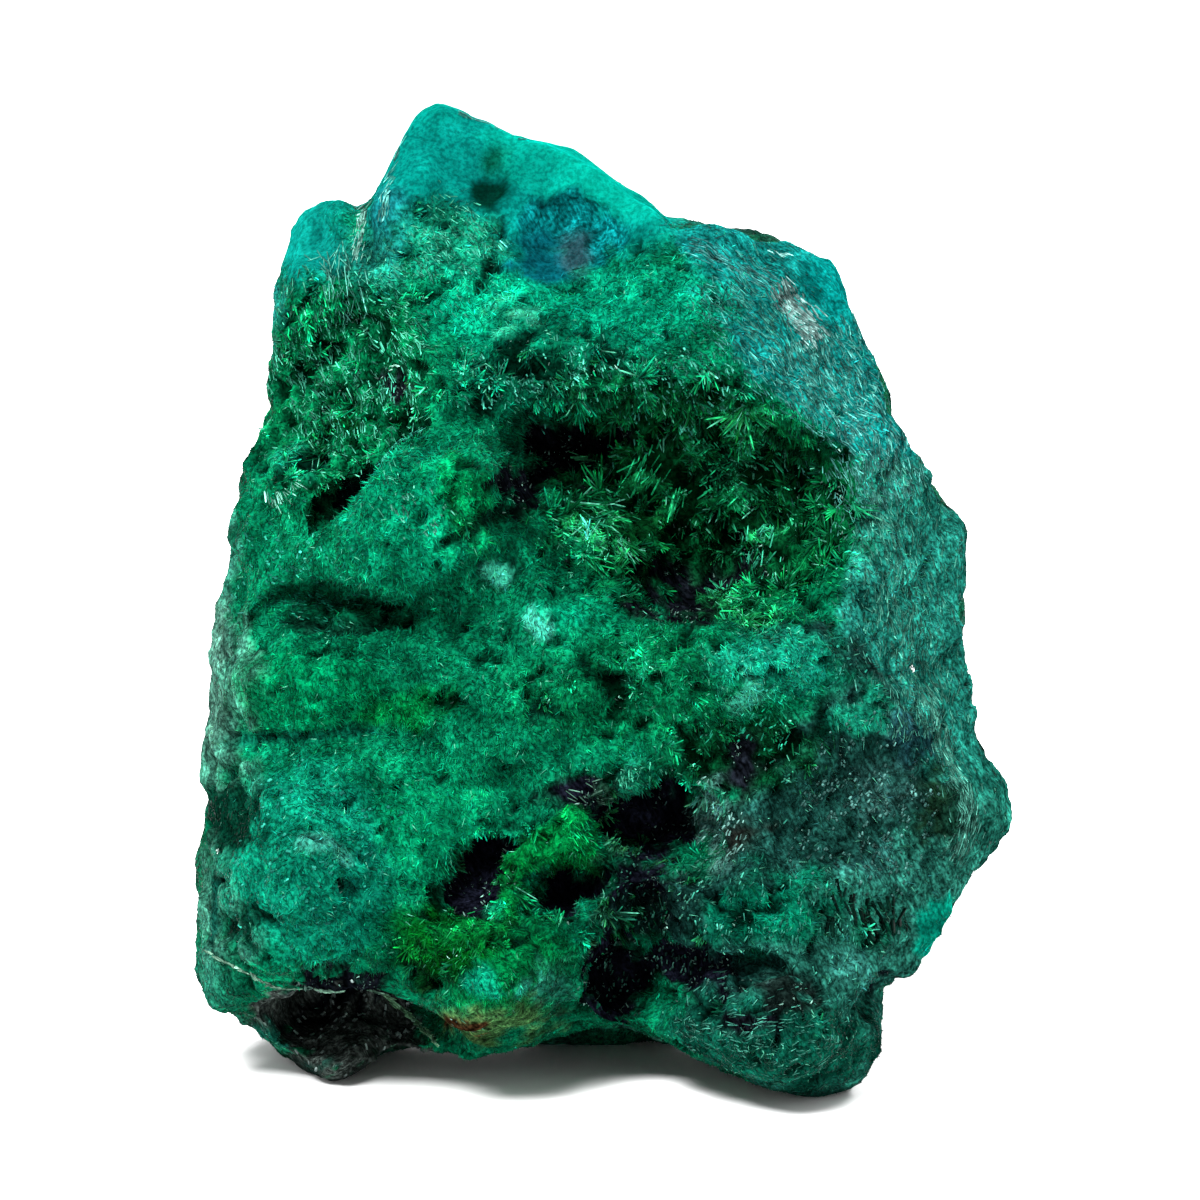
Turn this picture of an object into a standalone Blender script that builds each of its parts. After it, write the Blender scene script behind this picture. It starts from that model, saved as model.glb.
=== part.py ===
"""A dioptase specimen: one broken stone with crusts of needle crystals in its hollows.

The stone is shaped face-on in a face frame: u to the right, v up and w out of the face
towards the viewer, all in millimetres. It is then tipped back by LEAN and stood on its
feet, so that +Z is up and the face looks towards -Y. The finished object is in metres.
"""

import math
from collections import namedtuple
from random import Random

import bmesh
import bpy
import numpy as np
from mathutils import Matrix, Vector, noise
from mathutils.bvhtree import BVHTree

MM = 0.001
LEAN = math.radians(10)
# The floor cuts the leaning stone this high (mm).
FLOOR = -21.4

# The edge of the stone face-on, clockwise from the peak, as (u, v)
OUTLINE = [
    (-6.8, 22.5), (-4.7, 22.0), (-2.2, 20.9), (0.0, 20.2), (2.0, 18.9), (3.7, 17.5),
    (5.6, 17.2), (7.5, 16.9), (9.4, 16.3), (11.1, 15.3), (12.0, 13.4), (12.9, 11.6),
    (13.7, 9.9), (14.2, 8.2), (14.9, 6.7), (16.0, 5.2), (16.8, 3.6), (16.8, 1.8),
    (17.1, 0.0), (17.0, -1.8), (17.2, -3.6), (17.6, -5.7), (17.9, -7.3), (19.2, -9.0),
    (18.8, -10.9), (17.4, -12.6), (16.3, -14.7), (15.1, -16.8), (13.6, -18.4),
    (13.4, -20.0), (12.3, -21.8), (10.0, -22.9), (7.2, -22.1), (4.6, -21.0),
    (2.1, -19.8), (0.0, -19.5), (-2.2, -20.2), (-4.5, -20.9), (-6.9, -20.9),
    (-9.2, -21.2), (-12.3, -22.3), (-14.5, -20.9), (-16.8, -18.5), (-17.8, -16.1),
    (-18.2, -13.2), (-18.0, -10.4), (-17.4, -7.7), (-17.4, -5.6), (-17.3, -3.6),
    (-17.2, -1.8), (-16.9, 0.0), (-16.5, 1.8), (-16.3, 3.5), (-16.1, 5.2),
    (-15.4, 6.9), (-14.9, 8.6), (-14.9, 10.9), (-14.5, 13.0), (-13.9, 15.5),
    (-13.6, 17.0), (-13.0, 17.9), (-11.6, 18.0), (-10.5, 18.2), (-9.6, 19.1),
    (-9.1, 20.4), (-8.2, 21.8),
]
FRONT_DEPTH = 11.5
BACK_DEPTH = 12.5
EDGE_FULLNESS = 0.55
# The roughness stands out past the plain form by about this much.
EDGE_INSET = 0.3
FACE_FLATNESS = 0.8

# A broken face: what lies beyond the plane square to slope through at is pressed onto it.
Facet = namedtuple("Facet", "name slope at")
FACETS = [
    Facet("front face", (0.02, 0.03, 1.0), (0, 0, 9.4)),
    Facet("crown, leaning back", (-0.05, 0.50, 0.86), (0, 11, 8.6)),
    Facet("right flank", (0.84, 0.10, 0.53), (12.4, 2, 8.4)),
    Facet("right shoulder", (0.60, 0.62, 0.50), (9.0, 11.0, 7.4)),
    Facet("lower right break", (0.42, -0.30, 0.86), (11.0, -9.0, 8.2)),
    Facet("right wing", (0.72, -0.45, 0.52), (15.2, -13.0, 4.0)),
    Facet("left side", (-0.93, 0.02, 0.36), (-16.2, 0, 4.6)),
    Facet("back face", (0.08, 0.04, -1.0), (0, 0, -10.4)),
    Facet("back left", (-0.62, 0.12, -0.77), (-10.0, 0, -8.6)),
    Facet("back right", (0.66, -0.10, -0.74), (10.5, 0, -8.4)),
    Facet("back top", (0.04, 0.66, -0.75), (0, 11, -8.8)),
    Facet("back foot", (-0.06, -0.45, -0.89), (0, -15, -9.6)),
]

# A swelling or hollow: an ellipse at (u, v), turned by turn degrees, whose surface is
# pushed. wall is the share of its reach that slopes: 1 is a gentle rise, 0.5 a steep wall.
Stroke = namedtuple("Stroke", "name u v reach_u reach_v turn push wall")
FRONT_STROKES = [
    Stroke("boss beside the vug", -7.6, 3.4, 5.4, 4.2, 38, (-0.3, 0.2, 3.2), 0.7),
    Stroke("boss head", -4.6, 5.4, 2.6, 2.6, 0, (0.2, 0.2, 1.3), 0.8),
    Stroke("main vug", 4.4, 4.8, 8.6, 5.4, -12, (0.3, 0.6, -5.6), 0.55),
    Stroke("vug cave", -1.6, 6.4, 3.0, 2.3, -20, (-0.9, 1.4, -4.2), 0.5),
    Stroke("vug floor pit", 4.4, 0.8, 3.0, 1.7, 10, (0.2, -0.8, -2.6), 0.5),
    Stroke("vug brow", 1.5, 10.4, 7.5, 2.4, -8, (0.0, -0.8, 1.1), 0.9),
    Stroke("upper left field", -12.0, 9.4, 3.6, 5.6, -12, (0.4, 0.0, -3.2), 0.7),
    Stroke("crevice by the boss", -10.9, 4.9, 2.8, 1.1, 38, (0.6, -0.3, -3.0), 0.5),
    Stroke("notch above the boss", -8.6, 9.4, 1.4, 2.6, 12, (0.0, 0.3, -1.6), 0.6),
    Stroke("groove under the boss", -10.6, -0.6, 5.6, 1.2, 4, (0.0, 0.5, -2.6), 0.7),
    Stroke("left lobe", -12.4, -3.6, 5.2, 2.9, -6, (-0.2, 0.0, 1.2), 0.9),
    Stroke("left crease", -14.2, -6.5, 3.6, 0.8, -14, (0.0, 0.3, -1.0), 0.8),
    Stroke("lower left lobe", -12.9, -12.0, 5.6, 5.6, 20, (-0.2, -0.3, 2.2), 0.9),
    Stroke("middle swelling", -4.0, -4.2, 6.2, 3.8, 10, (0.0, -0.2, 1.3), 0.9),
    Stroke("ledge under the vug", 5.6, -2.9, 8.4, 2.7, 8, (0.0, 0.5, 2.5), 0.8),
    Stroke("highlight knob", -2.5, -0.9, 2.2, 1.2, 5, (0.0, 0.3, 0.9), 0.9),
    Stroke("low vug, right", 2.6, -10.4, 3.5, 2.8, 5, (0.3, 0.9, -4.6), 0.5),
    Stroke("low vug, middle", -0.9, -12.9, 1.8, 1.9, 0, (0.0, 0.3, -3.4), 0.5),
    Stroke("low vug, left", -4.6, -11.7, 2.3, 1.5, 20, (0.0, 0.4, -2.6), 0.6),
    Stroke("low vug, foot", 2.5, -16.4, 3.1, 3.0, 60, (0.2, 0.3, -4.4), 0.5),
    Stroke("low vug, tail", 6.6, -16.5, 4.4, 1.3, -4, (0.0, 0.4, -2.2), 0.7),
    Stroke("low middle lobe", -5.2, -17.0, 4.6, 4.2, 0, (0.0, -0.2, 2.4), 0.9),
    Stroke("undercut", -10.2, -19.4, 4.8, 2.2, -8, (0.2, 1.5, -5.0), 0.45),
    Stroke("low right rise", 9.0, -13.0, 4.8, 3.0, 12, (0.0, 0.0, 1.2), 0.9),
    Stroke("low right foot", 8.8, -19.6, 5.0, 3.2, -6, (0.0, -0.2, 1.8), 0.9),
    Stroke("foot notch", 13.4, -17.6, 1.8, 1.4, 40, (-0.7, 0.2, -1.8), 0.6),
    Stroke("break hollow", 12.8, -8.6, 3.6, 3.0, 20, (0.0, 0.0, -0.8), 0.9),
    Stroke("crown dish", -0.6, 15.7, 3.5, 2.8, -10, (0.0, 0.2, -1.5), 0.7),
    Stroke("crown knot", -4.8, 18.6, 1.5, 1.4, 0, (0.0, 0.0, -0.7), 0.9),
    Stroke("left ear", -12.6, 16.4, 2.4, 2.6, 0, (0.0, 0.0, -2.2), 0.8),
    Stroke("ear valley", -9.9, 16.8, 1.1, 3.0, -18, (0.0, -0.3, -0.9), 0.8),
    Stroke("crown ridge", -8.2, 18.4, 1.1, 3.6, -14, (0.0, 0.0, 0.9), 0.8),
]
BACK_STROKES = [
    Stroke("back scoop", -4.0, 6.0, 7.0, 5.0, 30, (0.2, 0.0, 2.2), 0.8),
    Stroke("back ridge", 5.0, 2.0, 2.6, 12.0, -18, (0.2, 0.0, -1.4), 0.9),
    Stroke("back pit", 7.0, -9.0, 3.4, 2.8, 10, (-0.3, 0.2, 2.0), 0.6),
    Stroke("back lump", -8.0, -8.0, 4.6, 4.0, 0, (-0.3, 0.0, -1.3), 0.9),
    Stroke("back ledge", -2.0, 13.6, 6.5, 1.8, 8, (0.0, 0.4, 1.6), 0.6),
    Stroke("back shelf", 9.0, 8.0, 4.0, 3.0, -30, (0.3, 0.0, 1.3), 0.6),
]
REAR_FOOT = Stroke("rear foot", 0.6, -17.0, 7.5, 5.5, 0, (0.0, -2.2, -0.6), 0.8)
# The two lower corners, of which the right one comes forward and the left one goes back
CORNER_STROKES = [
    Stroke("right foot", 11.0, -18.5, 11.0, 9.0, 0, (0.0, 0.0, 3.4), 1.0),
    Stroke("left foot", -12.6, -19.6, 6.0, 4.0, 0, (0.0, 0.0, -2.4), 1.0),
]

# How strongly every swelling and hollow is pushed
RELIEF = 1.25

# The broken surface: how wide its lumps are and how high (mm), coarse to fine
ROUGHNESS = [(6.0, 0.45), (2.8, 0.38), (1.4, 0.30)]
# Hollows and lumps wander off their ellipses by this much.
WANDER = 0.9
WANDER_SIZE = 3.4
SPHERE_STEPS = 7
GRAIN = 0.30
STONE_TRIANGLES = 4200

# A crust lines a hollow: an ellipse at (u, v), turned by turn degrees.
Crust = namedtuple("Crust", "node u v reach_u reach_v turn sheet_triangles crystals length")
CRUSTS = [
    Crust("main_vug_crystals", 4.6, 4.4, 7.8, 4.8, -12, 560, 84, 2.6),
    Crust("upper_left_crystals", -11.2, 9.2, 2.9, 4.8, -12, 320, 34, 1.7),
]
STONE_COLOUR = (0.008, 0.22, 0.14)
CRYSTAL_COLOUR = (0.004, 0.25, 0.10)
GAP = 0.42
SHEET = 0.5
CRYSTAL_SIDES = 6
CRYSTAL_RADIUS = (0.17, 0.27)
CRYSTAL_SPLAY = 0.55
ROOT_DEPTH = 0.25
TIP_HEIGHT = 0.9
TIP_STEP = 0.45
TRIES = 6000
SLIVER = 0.006


def clear_scene():
    for old in list(bpy.data.objects):
        bpy.data.objects.remove(old, do_unlink=True)


def smooth(t):
    """0 below 0 and 1 above 1, with a smooth rise between."""
    t = np.clip(t, 0, 1)
    return t * t * (3 - 2 * t)


def noise_at(points, size, shift):
    """Smooth noise, about -1 to 1, at each point. size is how wide its lumps are."""
    offset = Vector((shift, 2 * shift, 3 * shift))
    return np.array([noise.noise(Vector(point) / size + offset) for point in points])


def outline_reach(angle):
    """How far the outline lies from the middle at each angle."""
    edge = np.array(OUTLINE)
    edge_angle = np.arctan2(edge[:, 1], edge[:, 0])
    order = np.argsort(edge_angle)
    reach = np.hypot(edge[:, 0], edge[:, 1]) - EDGE_INSET
    return np.interp(angle, edge_angle[order], reach[order], period=math.tau)


def pillow(directions):
    """The plain form: the outline filled out like a pillow, fuller towards its edge."""
    across = np.maximum(np.hypot(directions[:, 0], directions[:, 1]), 1e-9)
    aim = directions[:, :2] / across[:, None]
    reach = outline_reach(np.arctan2(aim[:, 1], aim[:, 0])) * across**EDGE_FULLNESS
    up = directions[:, 2]
    depth = np.where(up > 0, FRONT_DEPTH, BACK_DEPTH)
    w = np.sign(up) * depth * np.abs(up) ** FACE_FLATNESS
    return np.column_stack([aim * reach[:, None], w])


def press_facets(points):
    for facet in FACETS:
        slope = np.array(facet.slope) / np.linalg.norm(facet.slope)
        beyond = (points - np.array(facet.at)) @ slope
        points = points - np.outer(np.maximum(beyond, 0) * 0.92, slope)
    return points


def footprint(place, form):
    """How deep in an ellipse each place is: 1 at its middle, 0 on its edge, then negative."""
    turn = math.radians(form.turn)
    u = place[:, 0] - form.u
    v = place[:, 1] - form.v
    along = (u * math.cos(turn) + v * math.sin(turn)) / form.reach_u
    across = (v * math.cos(turn) - u * math.sin(turn)) / form.reach_v
    return 1 - np.hypot(along, across)


def stroked(points, place, strokes, share):
    """The points pushed by the strokes over each place, where share says how much."""
    moved = points.copy()
    for stroke in strokes:
        lift = smooth(footprint(place, stroke) / stroke.wall) * share * RELIEF
        moved += np.outer(lift, stroke.push)
    return moved


def sculpted(directions):
    """The stone's surface in the face frame, one point for each direction."""
    points = press_facets(pillow(directions))
    stray = [noise_at(points, WANDER_SIZE, shift) * WANDER for shift in (17.3, 31.7)]
    place = points[:, :2] + np.column_stack(stray)
    front = smooth((points[:, 2] + 3.0) / 4.0)
    points = stroked(points, place, FRONT_STROKES, front)
    points = stroked(points, place, BACK_STROKES, 1 - front)
    points = stroked(points, place, CORNER_STROKES, np.ones(len(points)))
    points = stroked(points, place, [REAR_FOOT], smooth((-4.0 - points[:, 2]) / 3.0))
    outward = points * (1, 1, 4)
    outward /= np.linalg.norm(outward, axis=1)[:, None]
    for size, height in ROUGHNESS:
        points = points + outward * (noise_at(points, size, size) * height)[:, None]
    return points


def face_to_world():
    """From the face frame in millimetres to the standing stone in metres."""
    stand = Matrix.Rotation(math.pi / 2 - LEAN, 4, "X")
    return Matrix.Translation((0, 0, -FLOOR * MM)) @ stand @ Matrix.Scale(MM, 4)


def with_modifiers(mesh, *steps):
    """The mesh after modifiers, of which each is (type, {property: value})."""
    holder = bpy.data.objects.new("holder", mesh)
    bpy.context.scene.collection.objects.link(holder)
    for kind, values in steps:
        modifier = holder.modifiers.new(kind.title(), kind)
        for key, value in values.items():
            setattr(modifier, key, value)
    graph = bpy.context.evaluated_depsgraph_get()
    made = bpy.data.meshes.new_from_object(holder.evaluated_get(graph), depsgraph=graph)
    bpy.data.objects.remove(holder)
    return made


def thinned(mesh, grain, triangles):
    """The mesh evened out to a grain and then thinned to about that many triangles."""
    even = with_modifiers(mesh, ("REMESH", {"mode": "VOXEL", "voxel_size": grain * MM}))
    ratio = triangles / (2 * len(even.polygons))
    return with_modifiers(even, ("TRIANGULATE", {}), ("DECIMATE", {"ratio": ratio}))


def stone_mesh():
    """A ball sculpted to the stone, thinned, and cut flat where it stands."""
    ball = bmesh.new()
    bmesh.ops.create_icosphere(ball, subdivisions=SPHERE_STEPS, radius=1.0)
    directions = np.array([vertex.co[:] for vertex in ball.verts])
    for vertex, point in zip(ball.verts, sculpted(directions)):
        vertex.co = point
    ball.transform(face_to_world())
    dense = bpy.data.meshes.new("dense stone")
    ball.to_mesh(dense)
    ball.free()
    thin = thinned(dense, GRAIN, STONE_TRIANGLES)
    cut_flat(thin)
    return thin


def cut_flat(mesh):
    """Takes off all that is below the floor and closes the cut."""
    stone = bmesh.new()
    stone.from_mesh(mesh)
    everything = stone.verts[:] + stone.edges[:] + stone.faces[:]
    cut = bmesh.ops.bisect_plane(
        stone, geom=everything, plane_co=(0, 0, 0), plane_no=(0, 0, -1), clear_outer=True
    )
    rim = [edge for edge in cut["geom_cut"] if isinstance(edge, bmesh.types.BMEdge)]
    bmesh.ops.edgeloop_fill(stone, edges=rim)
    bmesh.ops.triangulate(stone, faces=stone.faces[:])
    bmesh.ops.recalc_face_normals(stone, faces=stone.faces[:])
    stone.to_mesh(mesh)
    stone.free()


def largest_piece(faces):
    """The largest group of these faces that share edges."""
    left = set(faces)
    best = []
    while left:
        piece = [left.pop()]
        for face in piece:
            near = {other for edge in face.edges for other in edge.link_faces} & left
            left -= near
            piece.extend(near)
        best = max(best, piece, key=len)
    return best


def crust_bed(stone, crust):
    """The stone's faces in the crust's ellipse, as a surface of their own."""
    bed = bmesh.new()
    bed.from_mesh(stone)
    to_face = face_to_world().inverted()
    middles = np.array([(to_face @ face.calc_center_median())[:] for face in bed.faces])
    facing = np.array([-face.normal.y for face in bed.faces])
    inside = (footprint(middles, crust) > 0) & (middles[:, 2] > 0) & (facing > 0)
    keep = set(largest_piece([face for face, hit in zip(bed.faces, inside) if hit]))
    outside = [face for face in bed.faces if face not in keep]
    bmesh.ops.delete(bed, geom=outside, context="FACES")
    touching = [v for v in bed.verts if sum(edge.is_boundary for edge in v.link_edges) > 2]
    bmesh.ops.delete(bed, geom=touching, context="VERTS")
    bed.normal_update()
    return bed


def crust_sheet(stone, wall, crust):
    """A thin closed sheet that follows the hollow, clear of its wall by GAP."""
    bed = crust_bed(stone, crust)
    starts = [(vertex.co.copy(), vertex.normal.copy()) for vertex in bed.verts]
    for vertex, (start, normal) in zip(bed.verts, starts):
        for lift in np.arange(GAP, 3 * GAP, 0.06):
            vertex.co = start + normal * lift * MM
            if wall.find_nearest(vertex.co)[3] > 0.95 * GAP * MM:
                break
    crowded = [v for v in bed.verts if wall.find_nearest(v.co)[3] < 0.8 * GAP * MM]
    bmesh.ops.delete(bed, geom=crowded, context="VERTS")
    mesh = bpy.data.meshes.new("sheet")
    bed.to_mesh(mesh)
    bed.free()
    thick = with_modifiers(mesh, ("SOLIDIFY", {"thickness": SHEET * MM, "offset": 1.0}))
    return thinned(thick, 0.16, crust.sheet_triangles)


def crystal_clear(wall, crust, foot, aim, length, radius):
    """Whether a crystal stays over its hollow and keeps its gap to the stone all along."""
    tip = face_to_world().inverted() @ (foot + aim * length * MM)
    if footprint(np.array([tip]), crust)[0] < 0:
        return False
    if wall.ray_cast(foot, aim, (length + 2 * GAP) * MM)[0]:
        return False
    steps = [foot + aim * length * MM * share for share in (0, 0.25, 0.5, 0.75, 1)]
    return min(wall.find_nearest(step)[3] for step in steps) > (GAP + radius) * MM


def crystal_mesh(foot, aim, length, radius):
    """A six-sided needle with the three steep faces of a rhombohedron at its tip."""
    crystal = bmesh.new()
    bmesh.ops.create_cone(
        crystal,
        cap_ends=True,
        segments=CRYSTAL_SIDES,
        radius1=radius * MM,
        radius2=0.85 * radius * MM,
        depth=length * MM,
    )
    cap = max(crystal.faces, key=lambda face: face.calc_center_median().z)
    for step, vertex in enumerate(cap.verts):
        vertex.co.z -= (step % 2) * TIP_STEP * radius * 2 * MM
    tip = bmesh.ops.poke(crystal, faces=[cap])["verts"][0]
    tip.co = (0, 0, (length / 2 + TIP_HEIGHT * radius) * MM)
    turn = aim.to_track_quat("Z", "Y").to_matrix().to_4x4()
    crystal.transform(Matrix.Translation(foot + aim * length * MM / 2) @ turn)
    mesh = bpy.data.meshes.new("crystal")
    crystal.to_mesh(mesh)
    crystal.free()
    return mesh


def grown_together(mesh, crystal):
    """The two as one solid, or nothing where their faces don't cross cleanly."""
    holder = bpy.data.objects.new("crystal", crystal)
    bpy.context.scene.collection.objects.link(holder)
    union = {"operation": "UNION", "solver": "EXACT", "object": holder}
    joined = with_modifiers(mesh, ("BOOLEAN", union), ("TRIANGULATE", {}))
    bpy.data.objects.remove(holder)
    seams = bmesh.new()
    seams.from_mesh(joined)
    bmesh.ops.remove_doubles(seams, verts=seams.verts[:], dist=SLIVER * MM)
    bmesh.ops.dissolve_degenerate(seams, edges=seams.edges[:], dist=SLIVER * MM / 2)
    closed = all(edge.is_manifold for edge in seams.edges)
    closed = closed and all(vertex.is_manifold for vertex in seams.verts)
    seams.to_mesh(joined)
    seams.free()
    return joined if closed else None


def crust_mesh(stone, crust, rng):
    """A sheet that lines the hollow, with crystals that lean out of it."""
    wall = BVHTree.FromPolygons(
        [vertex.co for vertex in stone.vertices], [face.vertices for face in stone.polygons]
    )
    solid = crust_sheet(stone, wall, crust)
    beds = [(f.center.copy(), f.normal.copy(), f.area) for f in solid.polygons if f.normal.y < -0.1]
    areas = [area for centre, normal, area in beds]
    feet = []
    for _ in range(TRIES):
        centre, normal, area = rng.choices(beds, areas)[0]
        lean = Vector([rng.gauss(0, CRYSTAL_SPLAY) for _ in range(3)])
        aim = (normal + Vector((0, -0.5, 0.1)) + lean).normalized()
        length = crust.length * rng.uniform(0.55, 1.0)
        radius = rng.uniform(*CRYSTAL_RADIUS)
        foot = centre - aim * ROOT_DEPTH * MM
        if any((foot - other).length < 2 * radius * MM for other in feet):
            continue
        if not crystal_clear(wall, crust, foot, aim, length, radius):
            continue
        joined = grown_together(solid, crystal_mesh(foot, aim, length, radius))
        if joined:
            solid = joined
            feet.append(foot)
        if len(feet) == crust.crystals:
            break
    return solid


def material(name, colour, roughness):
    made = bpy.data.materials.new(name)
    made.use_nodes = True
    shader = made.node_tree.nodes["Principled BSDF"]
    shader.inputs["Base Color"].default_value = (*colour, 1)
    shader.inputs["Roughness"].default_value = roughness
    shader.inputs["Metallic"].default_value = 0.0
    return made


def add_node(collection, name, mesh, look):
    """One body of the object, under its own name and with its material."""
    mesh.name = name
    mesh.materials.clear()
    mesh.materials.append(look)
    collection.objects.link(bpy.data.objects.new(name, mesh))


def centre_on_floor(collection):
    """Moves all bodies so that the middle of their box is over the origin."""
    corners = np.array([v.co[:] for body in collection.objects for v in body.data.vertices])
    middle = (corners.min(axis=0) + corners.max(axis=0)) / 2
    for body in collection.objects:
        body.data.transform(Matrix.Translation((-middle[0], -middle[1], 0)))


def main():
    clear_scene()
    specimen = bpy.data.collections.new("dioptase_specimen")
    bpy.context.scene.collection.children.link(specimen)
    rng = Random(7)
    stone = stone_mesh()
    for crust in CRUSTS:
        look = material(crust.node, CRYSTAL_COLOUR, 0.3)
        add_node(specimen, crust.node, crust_mesh(stone, crust, rng), look)
    add_node(specimen, "host_rock", stone, material("host_rock", STONE_COLOUR, 0.55))
    centre_on_floor(specimen)


main()
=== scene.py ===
"""The looks of the dioptase specimen: a rough stone with a velvet of fine needle crystals.

Places on the stone are given in its face frame: u to the right, v up and w towards the
viewer, in millimetres, from FACE_ORIGIN, with the whole frame tipped back by LEAN.
"""

import math
from collections import namedtuple

import bpy
import numpy as np
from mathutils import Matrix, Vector, noise
from mathutils.bvhtree import BVHTree


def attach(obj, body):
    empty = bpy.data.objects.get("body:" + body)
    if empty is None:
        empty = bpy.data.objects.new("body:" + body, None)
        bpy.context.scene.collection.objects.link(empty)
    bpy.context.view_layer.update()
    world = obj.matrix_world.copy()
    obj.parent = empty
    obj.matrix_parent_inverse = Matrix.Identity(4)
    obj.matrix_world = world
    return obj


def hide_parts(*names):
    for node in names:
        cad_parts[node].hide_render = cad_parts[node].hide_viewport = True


MM = 0.001
LEAN = math.radians(10)
FACE_ORIGIN = np.array([-0.357, 1.339, 21.4])
FACE_AXES = np.array([
    [1.0, 0.0, 0.0],
    [0.0, math.sin(LEAN), math.cos(LEAN)],
    [0.0, -math.cos(LEAN), math.sin(LEAN)],
])

# How fine the stone's mesh is, and how far the gaps and the foot of the felt lie in it, in mm
GRAIN = 0.27
GAP_DEPTH = 0.45
FELT_DEPTH = 0.15
# Bumps of the stone's surface: (width in mm, height in mm)
BUMPS = [(2.3, 0.20), (1.0, 0.15), (0.5, 0.09)]
# The streaks of bare stone: their height in mm
STRIATION = 0.14
# The slant of the streaks and needles in the face plane
COMB = math.radians(-62)
# The fibres of bare stone: their width in mm, how drawn out they are and their slant
FIBRE_WIDTH = 0.14
FIBRE_STRETCH = 8
FIBRE_TURN = -28
# Light and dark patches of the surface: (width in mm, shift of the noise, strength)
SHADES = [(1.9, 8.0, 0.80), (0.8, 2.0, 0.85)]
# Hollows and ridges wander within the face plane by these sums: (width in mm, how far in mm)
WANDER = [(2.6, 0.8), (1.1, 0.4)]
# Zones wander off their ellipses by these sums: (width in mm, how far in mm)
STRAY = [(2.6, 0.45), (0.9, 0.45), (0.4, 0.25)]
# The edges of zones are broken up by these sums: (width in mm, how far in mm)
RAGGED = [(1.2, 0.55), (0.55, 0.5)]

# Colours are linear. cover is how dense the felt of needles is, clear how far light goes
# into the stone, coarse how much of it stands in long sprays with dark gaps, pale the share
# of pale needles, which stand for painted glints, and push how far the surface is lifted
# (mm). fade is the share of the reach over which a zone ends.
Look = namedtuple("Look", "colour cover clear coarse pale push", defaults=(0, 0, 0, 0.01, 0))
Zone = namedtuple("Zone", "name u v reach_u reach_v turn fade look")
# Broken faces: the part of the stone beyond the plane square to slope through at
Side = namedtuple("Side", "name slope at look")
# Creases, crevices and rims, darkened with painted shade and sunk: a line through points (u, v), width in mm
ShadedCrease = namedtuple("ShadedCrease", "name points width look")

BACK = Look((0.014, 0.070, 0.050), 0.10)
BACK_DARK = Look((0.005, 0.026, 0.020), 0.35)
BACK_PALE = Look((0.036, 0.120, 0.092), 0.05)
# The back's looks are laid by noise: (width in mm, shift of the noise, look)
MOTTLES = [(4.0, 7.7, BACK_DARK), (2.6, 3.9, BACK_PALE)]
FRONT = Look((0.001, 0.130, 0.058), 1.0, 0.05, 0.1)
SIDES = [
    # The right flank's pale grey teal is partly the stone's colour and partly painted sheen.
    Side("right flank", (0.84, 0.10, 0.53), (12.4, 2, 8.4),
         Look((0.010, 0.150, 0.114), 0.35, pale=0.02)),
    Side("right shoulder", (0.60, 0.62, 0.50), (9.0, 11.0, 7.4),
         Look((0.004, 0.165, 0.148), 0.30, 0.1, pale=0.02)),
    Side("lower right break", (0.42, -0.30, 0.86), (11, -9, 8.2),
         Look((0.005, 0.034, 0.027), 0.35, 0.0, 0.1, 0.02)),
    Side("right wing", (0.72, -0.45, 0.52), (15.2, -13, 4.0),
         Look((0.012, 0.095, 0.070), 0.25)),
    Side("left side", (-0.93, 0.02, 0.36), (-17.0, 0, 4.6),
         Look((0.030, 0.140, 0.095), 0.3, pale=0.04)),
]
# The next two looks are painted shade: near black for the hollows, caves, crevices and the undercut, where
# shade falls. Both also sink the surface.
HOLLOW_SHADE = Look((0.0030, 0.0036, 0.0068), 0.06, push=-0.5)
SHADED = Look((0.0030, 0.0040, 0.0060), 0.08, push=-0.3)
UNDERSIDE = Look((0.040, 0.052, 0.047), 0.05, push=-0.3)
# A dark green, partly painted shade in holes, creases and under the boss and partly dark patches of the
# felt. It also sinks the surface.
DARK_AND_SHADE = Look((0.0008, 0.022, 0.012), 0.7, 0.0, 0.4, push=-0.2)
OLIVE = Look((0.0010, 0.030, 0.007), 0.7, 0.0, 0.6)
RUBBLE = Look((0.0020, 0.011, 0.009), 0.35, 0.0, 0.2, 0.05)
# Tufts whose bright green is partly their own and partly painted light against the shade in and around the
# vug.
LIT_TUFTS = Look((0.012, 0.360, 0.105), 0.8, 0.0, 1.5, 0.12)
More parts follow.
